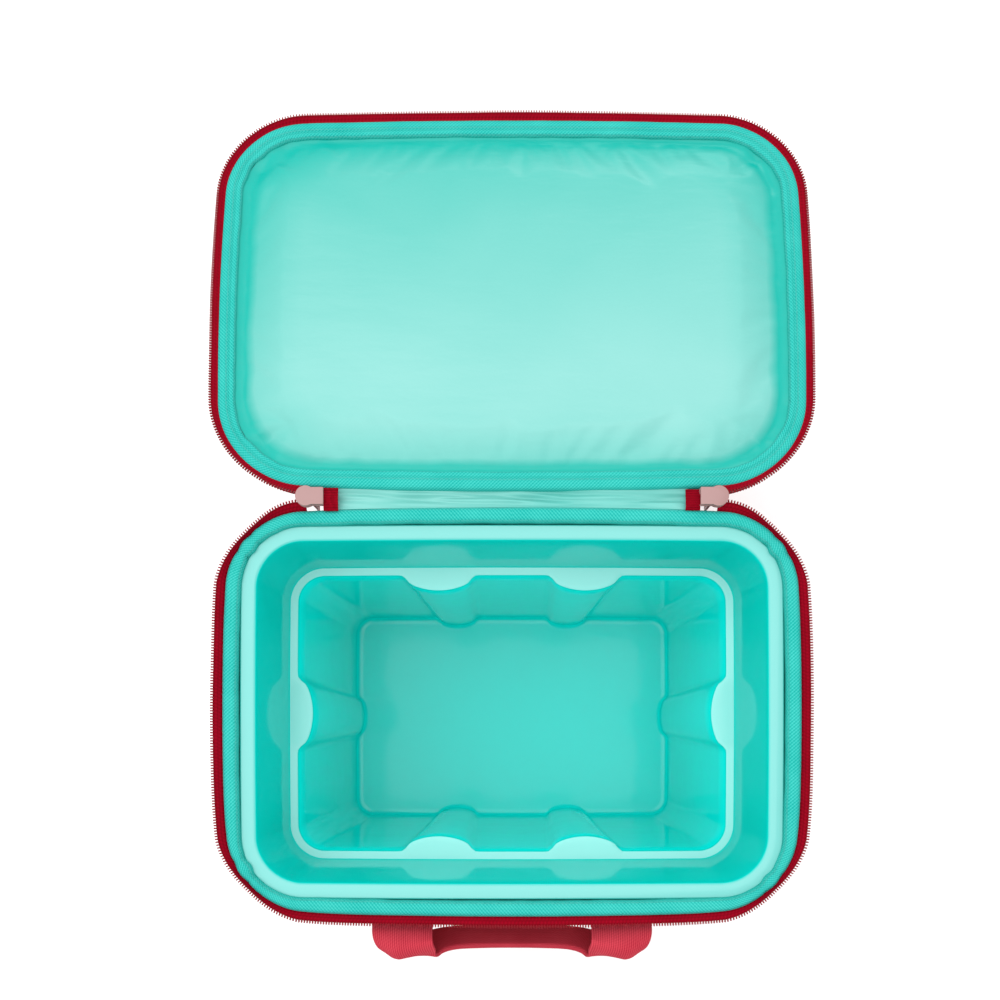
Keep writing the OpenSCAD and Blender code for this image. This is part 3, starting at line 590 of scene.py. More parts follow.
# %% Liner profile and ribs
LINER_W, LINER_D, LINER_TOP = 2 * liner_high.x, 2 * liner_high.y, liner_high.z
LINER_FLOOR = liner_low.z + 2.5 * MM
liner_line = Outline(LINER_W, LINER_D, 40 * MM, 1 * MM)
RIB_W, RIB_IN, RIB_PITCH = 57 * MM, 11 * MM, 106 * MM


def rib_push(place, facing, z):
    """How far a rib pushes the wall inwards at this place."""
    if z > LEDGE_Z + 0.0001:
        return 0.0
    down = min(1.0, (LEDGE_Z - z) / (LEDGE_Z - LINER_FLOOR))
    half = (RIB_W / 2) * (1 - 0.26 * down)
    deep = RIB_IN * (1 - 0.30 * down)
    if abs(facing.y) > 0.9:
        offset = abs(abs(place.x) - RIB_PITCH / 2)
    elif abs(facing.x) > 0.9:
        offset = abs(place.y)
    else:
        return 0.0
    if offset > half:
        return 0.0
    share = offset / half
    flare = min(1.0, (1 - share) / 0.3)
    return deep * (1 - share * share) ** 0.75 * flare * flare * (3 - 2 * flare)


def liner_rule(rows):
    def rule(u, v):
        spot = v * (len(rows) - 1)
        low = min(int(spot + 1e-6), len(rows) - 2)
        share = spot - low
        inset = rows[low][0] + (rows[low + 1][0] - rows[low][0]) * share
        z = rows[low][1] + (rows[low + 1][1] - rows[low][1]) * share
        shrink = max(0.0, rows[low][2] + (rows[low + 1][2] - rows[low][2]) * share)
        place, way = liner_line.at(u, -inset * MM)
        if shrink > 0:
            place = place * (1 - shrink)
        push = rib_push(place, way, z * MM) * (1 if rows[low + 1][3] else 0)
        place = place - way * push
        return Vector((place.x, place.y, z * MM))
    return rule


top, ledge, base = LINER_TOP / MM, LEDGE_Z / MM, LINER_FLOOR / MM
# each row: inset from the rim's edge, height, how far it closes to the middle, and whether ribs reach it
liner_rows = [(0.0, top - 3.4, 0, 0), (-0.1, top - 2.4, 0, 0), (0.1, top - 0.9, 0, 0), (0.9, top - 0.15, 0, 0),
              (2.2, top, 0, 0),
              (8.2, top - 0.1, 0, 0), (9.4, top - 0.5, 0, 0), (10.1, top - 1.4, 0, 0), (10.4, top - 3.5, 0, 0)]
liner_rows += [(10.4 + 5.0 * k / 6, top - 3.5 + (ledge + 2.2 - top + 3.5) * k / 6, 0, 0) for k in range(1, 7)]
liner_rows += [(15.6, ledge + 1.0, 0, 0), (16.2, ledge + 0.25, 0, 0), (17.2, ledge, 0, 0), (20.6, ledge, 0, 1),
               (21.4, ledge - 0.3, 0, 1), (21.8, ledge - 1.2, 0, 1)]
liner_rows += [(21.8 + 2.6 * k / 10, ledge - 1.2 + (base + 5.0 - ledge + 1.2) * k / 10, 0, 1) for k in range(1, 11)]
liner_rows += [(24.7, base + 2.4, 0, 1), (25.8, base + 0.8, 0, 1), (27.6, base + 0.05, 0, 1), (31.0, base, 0, 1)]
liner_rows += [(31.0, base, s, 0) for s in (0.2, 0.45, 0.7, 0.9, 1.0)]
liner = lay("liner", 420, len(liner_rows) - 1, liner_rule(liner_rows), closed=True)
print("liner points", len(liner.data.vertices), "rows", len(liner_rows))
LINER_WALL = 2.2 * MM
outwards(liner)
lowest = min(liner.data.polygons, key=lambda face: face.center.z)
modify(liner, "SOLIDIFY", thickness=LINER_WALL, offset=-1 if lowest.normal.z > 0 else 1)
outwards(liner)
finished(liner, liner_plastic, 35)
put(liner, "liner", "liner_plastic", "hard_liner")

# %% [markdown]
# ## Profiles
# Binding, tape and piping are long strips whose cross-section stays the same. A profile is a bent line given by a few
# points, walked by its length so that the weave isn't stretched where the strip turns. The strip helper sweeps it
# round an outline, and the tube helper sweeps a small circle along any path.

# %% Profile, strip and tube helpers
class Profile:
    """A bent line through points, walked by its length."""

    def __init__(self, *points):
        self.points = [Vector(p) for p in points]
        self.along = [0.0]
        for p, q in zip(self.points, self.points[1:]):
            self.along.append(self.along[-1] + (q - p).length)
        self.length = self.along[-1]

    def at(self, t):
        goal = min(max(t, 0.0), 1.0) * self.length
        for i in range(len(self.points) - 1):
            if goal <= self.along[i + 1] or i == len(self.points) - 2:
                share = (goal - self.along[i]) / max(1e-12, self.along[i + 1] - self.along[i])
                return self.points[i] + (self.points[i + 1] - self.points[i]) * share


def strip(name, line, profile, around, across, shape=None, matrix=None, start=0.0, end=1.0):
    """A profile of (out, height) in mm swept round an outline. shape(u, v, out, z, place) may move a point."""
    def rule(u, v):
        t = start + (end - start) * u
        out, z = profile.at(v)
        if shape:
            out, z = shape(t, v, out, z, line.at(t)[0])
        place, _ = line.at(t, out * MM)
        return Vector((place.x, place.y, z * MM))
    piece = lay(name, around, across, rule, closed=True, matrix=matrix)
    return piece


def tube(name, path, radius, steps, sides=8, matrix=None, squeeze=1.0):
    """A small round rope: path(t) gives its middle, t from 0 to 1."""
    def rule(u, v):
        p = path(u)
        way = (path(min(1.0, u + 0.002)) - path(max(0.0, u - 0.002))).normalized()
        side = way.cross(Vector((0, 0, 1)))
        if side.length < 0.1:
            side = way.cross(Vector((0, 1, 0)))
        side.normalize()
        other = side.cross(way)
        turn = v * 2 * math.pi
        return p + side * (radius * math.cos(turn)) + other * (radius * squeeze * math.sin(turn))
    piece = lay(name, steps, sides, rule, closed=True, matrix=matrix)
    modify(piece, "WELD", merge_threshold=0.00001)
    return outwards(piece)


def dish(line, rows, shape=None):
    """A rule for a closed stack of outlines: rows of (out, z, share closed to the middle) in mm."""
    middle = Vector((0, line.y))

    def rule(u, v):
        spot = v * (len(rows) - 1)
        low = min(int(spot + 1e-6), len(rows) - 2)
        share = spot - low
        out, z, shut = (rows[low][i] + (rows[low + 1][i] - rows[low][i]) * share for i in range(3))
        if shape:
            out, z = shape(u, out, z, shut, line.at(u)[0])
        place, _ = line.at(u, out * MM)
        place = middle + (place - middle) * (1 - shut)
        return Vector((place.x, place.y, z * MM))
    return rule


def corner(line, t):
    """1 in the corners of an outline and 0 along its straight sides."""
    _, way = line.at(t)
    return 1 - abs(abs(way.x) - abs(way.y)) ** 2


RIM = RIM_Z / MM
print("rim at", round(RIM, 1), "mm")

# %% [markdown]
# ## Bag shell and lining
# The outside of the bag is one coated cloth tube with four upright seams. It is lofted from the outline as a stack,
# and bellies out a little between the seams because the foam behind it is soft. The lining inside is welded film with
# broad creases, made the same way but turned to face inwards.

# %% Shell
SEAM_X = BAG_W / 2 - BAG_R - 6 * MM


PULL_FULL, PULL_FADE = 18, 32   # mm from the square corner: where the draw is full, and over how much it dies away


def pull(t, z):
    """How far the corners draw in near the rim, in mm: more at the front, where the wall is less stiff."""
    place, _ = bag_line.at(t)
    side = min(1.0, max(0.0, 0.5 - place.y / (90 * MM)))
    square = Vector((abs(place.x) - BAG_W / 2, abs(place.y - bag_line.y) - BAG_D / 2)).length / MM
    near = math.exp(-(max(0.0, square - PULL_FULL) / PULL_FADE) ** 2)
    return near * (1.1 + 2.0 * side) * min(1.0, max(0.0, (z - 190) / 140)) ** 0.8


def belly(place, z):
    """How far the outer cloth stands out at a place, in mm: never inwards, where the foam is."""
    up = max(0.0, min(1.0, (z - 40) / 280))
    middle = math.sin(up * math.pi) ** 0.7 if 0 < up < 1 else 0.0
    side = 0.35 + 0.65 * min(1.0, abs(abs(place.x) - SEAM_X) / (40 * MM))
    soft = wobble(place.x, place.y, z * MM, 0.11, 4.0) * 0.8 + wobble(place.x, place.y, z * MM, 0.035, 7.0) * 0.25
    return max(0.05, (1.5 * side + soft) * middle)


shell_rows = [(-1.0, RIM - 3, 0), (0.0, RIM - 6, 0)] + [(0.0, RIM - 6 - (RIM - 66) * k / 36, 0) for k in range(1, 37)]
shell_rows += [(0.0, 60 - 2 * k, 0) for k in range(1, 28)]
shell_rows += [(-1.5, 3.6, 0), (-6, 3.0, 0), (-6, 3.0, 0.3), (-6, 3.0, 0.7), (-6, 3.0, 1.0)]


def shell_shape(u, out, z, shut, place):
    return (out + belly(place, z) - pull(u, z), z) if shut == 0 and z > 6 else (out, z)


shell = lay("bag_shell", 360, len(shell_rows) - 1, dish(bag_line, shell_rows, shell_shape), closed=True)
clear()
shell.select_set(True)
bpy.context.view_layer.objects.active = shell
AXLE = Vector((BAG_W / 2 - 14.5 * MM, 0, 18 * MM))
bpy.ops.object.mode_set(mode="EDIT")
bpy.ops.mesh.select_all(action="DESELECT")
bpy.ops.mesh.select_mode(type="VERT")
bpy.ops.object.mode_set(mode="OBJECT")
for vertex in shell.data.vertices:
    spot = vertex.co
    near = Vector((spot.x - AXLE.x, 0, spot.z - AXLE.z)).length
    vertex.select = near < 32.4 * MM and abs(spot.y) > 99.5 * MM
bpy.ops.object.mode_set(mode="EDIT")
bpy.ops.mesh.delete(type="VERT")
bpy.ops.object.mode_set(mode="OBJECT")
outwards(shell)
modify(shell, "SOLIDIFY", thickness=0.9 * MM, offset=-1)
finished(shell, red_cloth)
put(shell, "bag", "shell_fabric", "front_panel", "back_panel", "left_panel", "right_panel", "bottom_panel",
    "front_foam", "back_foam", "left_foam", "right_foam")
print("shell faces", len(shell.data.polygons))

# %% Lining
inner_rows = [(-8.9, RIM - 3, 0)] + [(-9.0, RIM - 3 - (RIM - 22) * k / 30, 0) for k in range(0, 31)]
inner_rows += [(-10, 16, 0), (-14, 15, 0), (-14, 15, 0.3), (-14, 15, 0.7), (-14, 15, 1.0)]


def inner_shape(u, out, z, shut, place):
    crease = wobble(place.x, place.y, z * MM * 0.5, 0.03, 2.0)
    return out - (0.35 * abs(crease) if z < RIM - 12 and shut == 0 else 0), z


lining = lay("bag_lining_film", 300, len(inner_rows) - 1, dish(bag_line, inner_rows, inner_shape), closed=True)
outwards(lining, inside=True)
finished(lining, inner_film)
put(lining, "bag", "lining", "bag_lining")
print("lining faces", len(lining.data.polygons))

# %% [markdown]
# The four upright seams are covered with piping: a cord wrapped in the same cloth. Each one follows the shell's own
# belly so that it always lies on the cloth.

# %% Seam piping
red_piping = coated_cloth("red_piping", (0.30, 0.001, 0.009), (0.19, 0.000, 0.004), 1300)


def wall_y(x):
    """Distance of the front or back wall from the middle, at x."""
    a, b = BAG_W / 2 - BOW, BAG_D / 2 - BOW
    return b + BOW * (1 - min(1.0, abs(x) / a) ** 2)


for number, (sx, sy) in enumerate(((-1, -1), (1, -1), (-1, 1), (1, 1))):
    def upright(t, sx=sx, sy=sy):
        z = 42 + (RIM - 16 - 42) * t
        spot = Vector((sx * SEAM_X, sy * wall_y(SEAM_X)))
        return Vector((spot.x, spot.y + sy * (belly(spot, z) + 0.5) * MM, z * MM))
    cord = tube("seam_piping_%d" % (number + 1), upright, 1.5 * MM, 60)
    finished(cord, red_piping)
    put(cord, "bag", "shell_fabric")
print("four seams piped")

# %% [markdown]
# ## Rim binding
# The raw edge of the padded wall is folded into a wide woven tape and sewn through. The tape is an upside-down U in
# section. It puckers where it has to turn a corner, and at three corners the spare length is tucked into a fold.

# %% Rim binding
teal_binding = woven_band("teal_binding", TEAL_TAPE, TEAL_DEEP, 16, 1.24, 0.039, 0.0012,
                          stitches=((0.39, (0.05, 0.42, 0.37)), (0.61, (0.05, 0.42, 0.37))), line_share=0.12)
rim_profile = Profile((0.1, RIM - 14), (0.9, RIM - 13.8), (0.9, RIM - 8), (0.3, RIM - 2.6), (-0.4, RIM - 0.8),
                      (-1.6, RIM + 0.1),
                      (-4.4, RIM + 0.35), (-7.6, RIM + 0.1), (-9.0, RIM - 0.8), (-9.5, RIM - 2.8), (-9.7, RIM - 8),
                      (-9.3, RIM - 13.8), (-8.2, RIM - 14))
fold_places = [(-178 * MM, 113 * MM, 3.0), (179 * MM, 111 * MM, 2.4),
               (-176 * MM, -104 * MM, 2.2), (170 * MM, -112 * MM, 1.6)]


def rim_shape(t, v, out, z, place):
    bend = corner(bag_line, t)
    inner = max(0.0, min(1.0, (-out - 2) / 7))
    out += inner * (0.4 + 0.5 * bend) * wobble(place.x, place.y, 0, 0.012, 1.0)
    z += 0.25 * wobble(place.x, place.y, 0, 0.02, 3.0) + inner * bend * 0.5 * wobble(place.x, place.y, 0, 0.009, 5.0)
    out -= pull(t, z) * min(1.0, max(0.12, (out + 9) / 8))
    for fx, fy, height in fold_places:
        off = (place - Vector((fx, fy))).length / MM
        ridge = math.exp(-((off - 2.5) / 2.2) ** 2) - 0.7 * math.exp(-((off - 8.5) / 2.0) ** 2)
        z += ridge * height * 0.35
        out += -inner * ridge * height * 0.5 + (1 - inner) * ridge * height * 0.15
    return out, z


rim = strip("rim_tape", bag_line, rim_profile, 620, 34, rim_shape)
outwards(rim)
finished(rim, teal_binding)
put(rim, "bag", "binding", "rim_binding")
print("rim tape", round(rim_profile.length, 1), "mm across")

# %% [markdown]
# ## Zip
# A zip runs round three sides. Open, each half is a red tape that stands out and leans towards the other half, with
# its row of teeth along the free edge, so that shut the two rows meet. At the back each half swings to its slider. The
# teeth are one small rounded block, copied along.

# %% Zip tapes
slider_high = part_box("right_slider")[1]
red_tape = woven_band("red_zip_tape", (0.30, 0.001, 0.012), (0.15, 0.000, 0.004), 9, 1.1, 0.012, 0.0014)
red_teeth = textured("red_teeth", (0.20, 0.000, 0.006), 0.5, 500, 0.00004, 0.12, Specular_IOR_Level=0.2)
ZIP_EDGE = slider_high.x - 6 * MM


def zip_start(line):
    """The share of the outline where the zip begins, at the slider."""
    low, high = 0.0, 0.2
    for _ in range(40):
        middle = (low + high) / 2
        low, high = (middle, high) if abs(line.at(middle)[0].x) < ZIP_EDGE else (low, middle)
    return low


BAG_START, LID_START = zip_start(bag_line), zip_start(lid_line)


def spread(line, t, place):
    """How far the tape's free edge stands out, in mm, and how near the slider it is."""
    near = max(0.0, 1 - (abs(place.x) - ZIP_EDGE) / (30 * MM)) if place.y > line.y + 90 * MM else 0.0
    bend = corner(line, t)
    even = 1.4 + 3.6 * (1 - bend) ** 0.7 if line is bag_line else 4.4 - 0.8 * bend
    wide = even + 0.3 * wobble(place.x, place.y, 0, 0.05, 9.0)
    return wide, min(1.0, max(0.0, near))


def tape_shape(line, z0, lift):
    def shape(t, v, out, z, place):
        wide, near = spread(line, t, place)
        reach = wide * (1 - near) + 5.6 * near
        drawn = pull(t, RIM) if line is bag_line else 0.0
        return out * reach - drawn - (0.8 if out < 0.3 else 0), z + lift * max(0.0, out) * 4.6
    return shape


def zip_tape(name, line, start, z0, lift, matrix=None):
    profile = Profile((-0.3, z0 - 1.5), (0.25, z0 - 0.5), (0.6, z0 + 0.1), (1.0, z0 + 0.2), (1.02, z0 - 0.6),
                      (0.6, z0 - 0.8),
                      (0.2, z0 - 1.4), (-0.3, z0 - 1.6))
    piece = strip(name, line, profile, 520, 14, tape_shape(line, z0, lift), matrix, start, 1 - start)
    outwards(piece)
    return finished(piece, red_tape)


bag_tape = zip_tape("bag_zip_band", bag_line, BAG_START, RIM - 2.4, 1.0)
put(bag_tape, "bag", "zip_tape", "bag_zip_tape")
lid_tape = zip_tape("lid_zip_band", lid_line, LID_START, LID_Z / MM + 2.8, -1.0, OPEN_LID)
put(lid_tape, "lid", "zip_tape", "lid_zip_tape")
print("zip tape faces", len(bag_tape.data.polygons), "and", len(lid_tape.data.polygons))

# %% Teeth
clear()
bpy.ops.mesh.primitive_cube_add(size=1)
tooth = bpy.context.object
tooth.data.transform(Matrix.Diagonal((0.85 * MM, 2.2 * MM, 1.7 * MM, 1)))
modify(tooth, "BEVEL", width=0.25 * MM, segments=1, limit_method="NONE")
tooth_shape = tooth.data.copy()
bpy.data.objects.remove(tooth)


def repeat(name, shape, places):
    """One mesh made of copies of a shape, each with its own place."""
    clear()
    copies = []
    for matrix in places:
        copy = bpy.data.objects.new(name, shape.copy())
        copy.data.transform(matrix)
        bpy.context.scene.collection.objects.link(copy)
        copy.select_set(True)
        copies.append(copy)
    bpy.context.view_layer.objects.active = copies[0]
    bpy.ops.object.join()
    piece = bpy.context.object
    piece.name = piece.data.name = name
    return piece


def teeth(name, line, start, z0, lift, matrix=Matrix()):
    count = int(line.length * (1 - 2 * start) / (1.75 * MM))
    places = []
    for i in range(count):
        t = start + (1 - 2 * start) * (i + 0.5) / count
        spot, _ = line.at(t)
        wide, near = spread(line, t, spot)
        reach = wide * (1 - near) + 5.6 * near
        place, way = line.at(t, (reach + 0.55 - (pull(t, RIM) if line is bag_line else 0.0)) * MM)
        turn = Matrix.Rotation(math.atan2(way.y, way.x) - math.pi / 2, 4, "Z")
        places.append(matrix @ Matrix.Translation((place.x, place.y, (z0 + lift * 4.6) * MM)) @ turn)
    return finished(repeat(name, tooth_shape, places), red_teeth, 30)


bag_teeth = teeth("bag_teeth", bag_line, BAG_START, RIM - 2.5, 1.0)
put(bag_teeth, "bag", "zip_teeth", "bag_zip_teeth")
lid_teeth = teeth("lid_teeth", lid_line, LID_START, LID_Z / MM + 2.9, -1.0, OPEN_LID)
put(lid_teeth, "lid", "zip_teeth", "lid_zip_teeth")
print("teeth", len(bag_teeth.data.polygons), len(lid_teeth.data.polygons), "faces")

# %% [markdown]
# ## Lid
# The lid is modelled shut, where its outline is easy to draw, and then turned to its open place with the same turn
# that the hinge makes. Its outside is a shallow cloth box with a padded, crowned top and piping round the edge.

# %% Lid outside and its piping
LZ = LID_Z / MM
lid_rows = [(-1.5, LZ + 2.5, 0), (0.2, LZ + 4, 0), (0.9, LZ + 8, 0), (1.0, LZ + 13, 0), (0.4, LZ + 17, 0),
            (-1.5, LZ + 20, 0),
            (-5.0, LZ + 21.8, 0), (-11.0, LZ + 22.6, 0), (-20.0, LZ + 23.4, 0)]
lid_rows += [(-20.0, LZ + 23.4 + 1.6 * s, s) for s in (0.1, 0.22, 0.36, 0.5, 0.64, 0.78, 0.9, 1.0)]


def lid_shape(u, out, z, shut, place):
    soft = wobble(place.x * (1 - shut), place.y * (1 - shut), 0, 0.05, 6.0)
    return out, z + (0.5 * soft if z > LZ + 20 else 0)


lid_top = lay("lid_cloth", 360, len(lid_rows) - 1, dish(lid_line, lid_rows, lid_shape), closed=True, matrix=OPEN_LID)
outwards(lid_top)
finished(lid_top, red_cloth)
put(lid_top, "lid", "shell_fabric", "lid_panel")


def lid_edge(t):
    place, _ = lid_line.at(t, -1.6 * MM)
    return OPEN_LID @ Vector((place.x, place.y, (LZ + 20.4) * MM))


lid_cord = tube("lid_piping", lid_edge, 1.9 * MM, 360)
finished(lid_cord, red_piping)
put(lid_cord, "lid", "shell_fabric")
print("lid piping faces", len(lid_cord.data.polygons))

# %% Lid binding
lid_binding_weave = woven_band("teal_lid_binding", TEAL_TAPE, TEAL_DEEP, 14, 1.2, 0.029, 0.0012,
                               stitches=((0.62, (0.05, 0.42, 0.37)), (0.86, (0.05, 0.42, 0.37))), line_share=0.12)
lid_profile = Profile((-1.2, LZ + 7.6), (0.8, LZ + 7.2), (1.3, LZ + 4.0), (1.1, LZ + 1.4), (0.2, LZ - 0.2),
                      (-1.8, LZ - 0.8),
                      (-4.2, LZ - 1.1), (-6.0, LZ - 0.9), (-6.7, LZ - 0.2), (-7.4, LZ - 0.9), (-9.0, LZ - 0.9),
                      (-10.2, LZ - 0.5), (-10.8, LZ + 0.6), (-10.4, LZ + 3.0))


def lid_edge_shape(t, v, out, z, place):
    bend = corner(lid_line, t)
    inner = max(0.0, min(1.0, (-out - 4) / 6))
    out += inner * (0.35 + 0.9 * bend) * wobble(place.x, place.y, 0, 0.011, 2.0)
    z += 0.22 * wobble(place.x, place.y, 0, 0.018, 8.0) + inner * bend * 0.5 * wobble(place.x, place.y, 0, 0.008, 4.0)
    return out, z


lid_tape_edge = strip("lid_edge_tape", lid_line, lid_profile, 620, 32, lid_edge_shape, OPEN_LID)
outwards(lid_tape_edge)
finished(lid_tape_edge, lid_binding_weave)
put(lid_tape_edge, "lid", "binding", "lid_binding")
print("lid edge tape", round(lid_profile.length, 1), "mm across")

# %% [markdown]
# The inside of the lid is a soft shiny film over foam. Sewn down all round, it swells in the middle and puckers at
# the corners. That is what a cloth simulation does well: the film starts as a slightly loose flat sheet held at its
# edge, and a little pressure from behind fills it. Without the simulation the same sheet takes a crown by rule.

# %% Lid film
FILM_INSET = 10.2 * MM   # how far inside the lid's outline the film is sewn, under the binding's inner edge


def film_place(u, v):
    """A point of the lid's film: a square laid on the rounded outline, ring by ring."""
    x, y = 2 * u - 1, 2 * v - 1
    ring = max(abs(x), abs(y))
    if ring < 1e-6:
        return Vector((0, LID_Y, 0)), 0.0, 0.0
    if abs(x) >= abs(y):
        side = y / ring
        corner_turn = (math.pi / 4) * side
        base = 0.0 if x > 0 else math.pi
        turn = base + corner_turn if x > 0 else base - corner_turn
    else:
        side = x / ring
        corner_turn = (math.pi / 4) * side
        turn = math.pi / 2 - corner_turn if y > 0 else -math.pi / 2 + corner_turn
    share = ((turn - math.pi / 2) / (2 * math.pi)) % 1.0
    edge, _ = lid_line.at(film_share(share), -FILM_INSET)
    middle = Vector((0, LID_Y))
    flat = middle + (edge - middle) * ring
    return Vector((flat.x, flat.y, 0)), ring, share


def film_share(share):
    """Maps quarter turns of the sheet to quarters of the outline, so that its corners fall in the corners."""
    eighth = [corner_share(k) for k in range(4)]
    marks = [0.0, *eighth, 1.0]
    goals = [0.0, 0.125, 0.375, 0.625, 0.875, 1.0]
    for i in range(5):
        if share <= goals[i + 1]:
            part = (share - goals[i]) / (goals[i + 1] - goals[i])
            return marks[i] + (marks[i + 1] - marks[i]) * part
    return 1.0


corner_marks = []


def corner_share(k):
    """The share of the outline at the middle of corner k, counted from the back left."""
    if not corner_marks:
        for sx, sy in ((-1, 1), (-1, -1), (1, -1), (1, 1)):
            best = min(range(0, 2000), key=lambda i: (lid_line.at(i / 2000)[1] - Vector((sx, sy)).normalized()).length)
            corner_marks.append(best / 2000)
    return corner_marks[k]


def film_rule(u, v):
    flat, ring, share = film_place(u, v)
    edge = (1 - ring)
    dip = math.exp(-((edge - 0.035) / 0.03) ** 2) * 1.6
    rise = min(1.0, max(0.0, (edge - 0.03) / 0.14)) ** 0.6 * 3.6
    near = min(abs(share - mark) for mark in (0.125, 0.375, 0.625, 0.875))
    tight = max(0.0, 1 - near / 0.055) * math.exp(-((edge - 0.07) / 0.07) ** 2)
    pucker = tight * (0.9 * math.sin(share * 2 * math.pi * 34 + 3 * wobble(flat.x, flat.y, 0, 0.02, 3.0))
                      + 0.8 * wobble(flat.x, flat.y, 0, 0.008, 1.0))
    return Vector((flat.x, flat.y, (LZ + 1.2 + dip - rise + pucker) * MM))


film_sheet = lay("lid_film_pad", 132, 92, film_rule)
start_points = [v.co.copy() for v in film_sheet.data.vertices]
clear()
film_sheet.select_set(True)
bpy.context.view_layer.objects.active = film_sheet
held = film_sheet.vertex_groups.new(name="sewn")
for vertex in film_sheet.data.vertices:
    i = vertex.index
    column, row = i % 133, i // 133
    rim_near = min(column, row, 132 - column, 92 - row)
    held.add([i], 1.0 if rim_near <= 2 else 0.0, "REPLACE")
cloth = film_sheet.modifiers.new("film", "CLOTH")
cloth.settings.quality = 6
cloth.settings.mass = 0.25
cloth.settings.tension_stiffness = 18
cloth.settings.compression_stiffness = 18
cloth.settings.bending_stiffness = 2.5
cloth.settings.shrink_min = -0.006
cloth.settings.vertex_group_mass = "sewn"
cloth.settings.use_pressure = True
cloth.settings.uniform_pressure_force = -2.0
cloth.settings.effector_weights.gravity = 0
for number in range(1, 21):
    bpy.context.scene.frame_set(number)
bpy.ops.object.modifier_apply(modifier=cloth.name)
bpy.context.scene.frame_set(1)
far = 0.0
for vertex, start in zip(film_sheet.data.vertices, start_points):
    move = vertex.co - start
    far = max(far, move.length)
    if move.length > 3 * MM:
        vertex.co = start + move * (3 * MM / move.length)
print("film moved up to", round(far / MM, 1), "mm before the cap")
film_sheet.data.transform(OPEN_LID)
modify(film_sheet, "SUBSURF", levels=1, render_levels=1)
finished(film_sheet, lid_film, 80)
put(film_sheet, "lid", "lining", "lid_lining", "lid_foam")
facing_up = sum(p.normal.z * p.area for p in film_sheet.data.polygons)
if facing_up < 0:
    outwards(film_sheet)
    if sum(p.normal.z * p.area for p in film_sheet.data.polygons) < 0:
        outwards(film_sheet, inside=True)
print("film points", len(film_sheet.data.vertices))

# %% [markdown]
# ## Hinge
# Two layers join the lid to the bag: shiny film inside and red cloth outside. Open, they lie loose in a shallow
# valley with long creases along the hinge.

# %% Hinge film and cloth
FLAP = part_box("hinge_flap_bag")[1].x + 1 * MM


def hinge_rule(drop, grow):
    def rule(u, v):
        x = (u * 2 - 1) * (FLAP + grow)
        back = wall_y(x) + 0.2 * MM
        front = HINGE.y + 7.5 * MM
        y = back + (front - back) * v
        dip = math.sin(v * math.pi)
        waves = wobble(x * 0.10, y * 1.3 + x * 0.05, 0, 0.004, 3.0) * 3.4
        waves += wobble(x * 0.25, y * 2.0, 0, 0.005, 5.0) * 0.8
        z = RIM - 1.2 - drop - dip * 2.4 + waves * dip * 0.9 - 1.4 * v * (1 - v)
        return Vector((x, y, (z - 1.6 * v) * MM))
    return rule


hinge_film = lay("hinge_film", 180, 36, hinge_rule(0.0, 0.0))
if sum(p.normal.z for p in hinge_film.data.polygons) < 0:
    outwards(hinge_film, inside=True)
modify(hinge_film, "SOLIDIFY", thickness=0.5 * MM, offset=-1)
finished(hinge_film, hinge_shine)
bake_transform(hinge_film)
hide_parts("hinge_flap_bag", "hinge_flap_lid")

hinge_cloth = lay("hinge_cloth", 120, 20, hinge_rule(1.4, 1.5 * MM))
modify(hinge_cloth, "SOLIDIFY", thickness=0.8 * MM, offset=0)
finished(hinge_cloth, red_cloth)
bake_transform(hinge_cloth)
print("hinge flap", round(2 * FLAP, 3), "m wide")

# %% [markdown]
# ## Sliders, end tabs and pulls
# The sliders are flat metal plates with a round nose and a powder coat, so copies of the CAD plates with softened
# edges are right. The red tab beside each one is a folded scrap of zip tape that covers the tape ends.

# %% Sliders and pulls
for side in ("left", "right"):
    put(rounded_copy(side + "_slider", 0.3 * MM, 3, slider_coat), "bag", "slider_coating", side + "_slider")
    put(rounded_copy(side + "_pull", 0.15 * MM, 2, slider_coat), side + "_pull", "slider_coating", side + "_pull")
put(rounded_copy("pocket_slider", 0.5 * MM, 2, slider_coat), "pocket_slider", "slider_coating", "pocket_slider")

tab_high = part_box("zip_end_tabs")[1]
for number, side in enumerate((-1, 1)):
    def tab_rule(u, v, side=side):
        x = side * (tab_high.x / MM - 8.5 + 9.4 * u)
        y = HINGE.y / MM - 8.4 + 13.6 * v
        bulge = 1.2 * math.sin(v * math.pi) ** 0.5 if 0 < v < 1 else 0.0
        z = RIM + 0.8 + bulge + 0.3 * wobble(x * MM, y * MM, 0, 0.004, 3.0)
        return Vector((x * MM, y * MM, z * MM))
    tab = lay("zip_tab_%d" % (number + 1), 16, 18, tab_rule)
    if sum(p.normal.z for p in tab.data.polygons) < 0:
        outwards(tab, inside=True)
    modify(tab, "SOLIDIFY", thickness=1.2 * MM, offset=-1)
    finished(tab, red_tape)
    put(tab, "bag", "zip_tape", *(["zip_end_tabs"] if side < 0 else []))
print("sliders, pulls and tabs done")

# %% [markdown]
# ## Front pocket
# A flat gusseted pocket on the front. Empty, it bellies out like a shallow pillow. Its bottom corners are rounded, a
# zip lies on its top, and piping covers the seam where it's sewn to the wall.

# %% Pocket
pocket_low, pocket_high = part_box("front_pocket")
POCKET_W, POCKET_Z, POCKET_TOP = 2 * pocket_high.x / MM, pocket_low.z / MM, pocket_high.z / MM
POCKET_OUT = 17.0


def pocket_half(z):
    """Half the pocket's width at a height: the bottom corners are round."""
    r = 34.0
    down = max(0.0, POCKET_Z + r - z)
    return POCKET_W / 2 - r + math.sqrt(max(0.0, r * r - down * down))


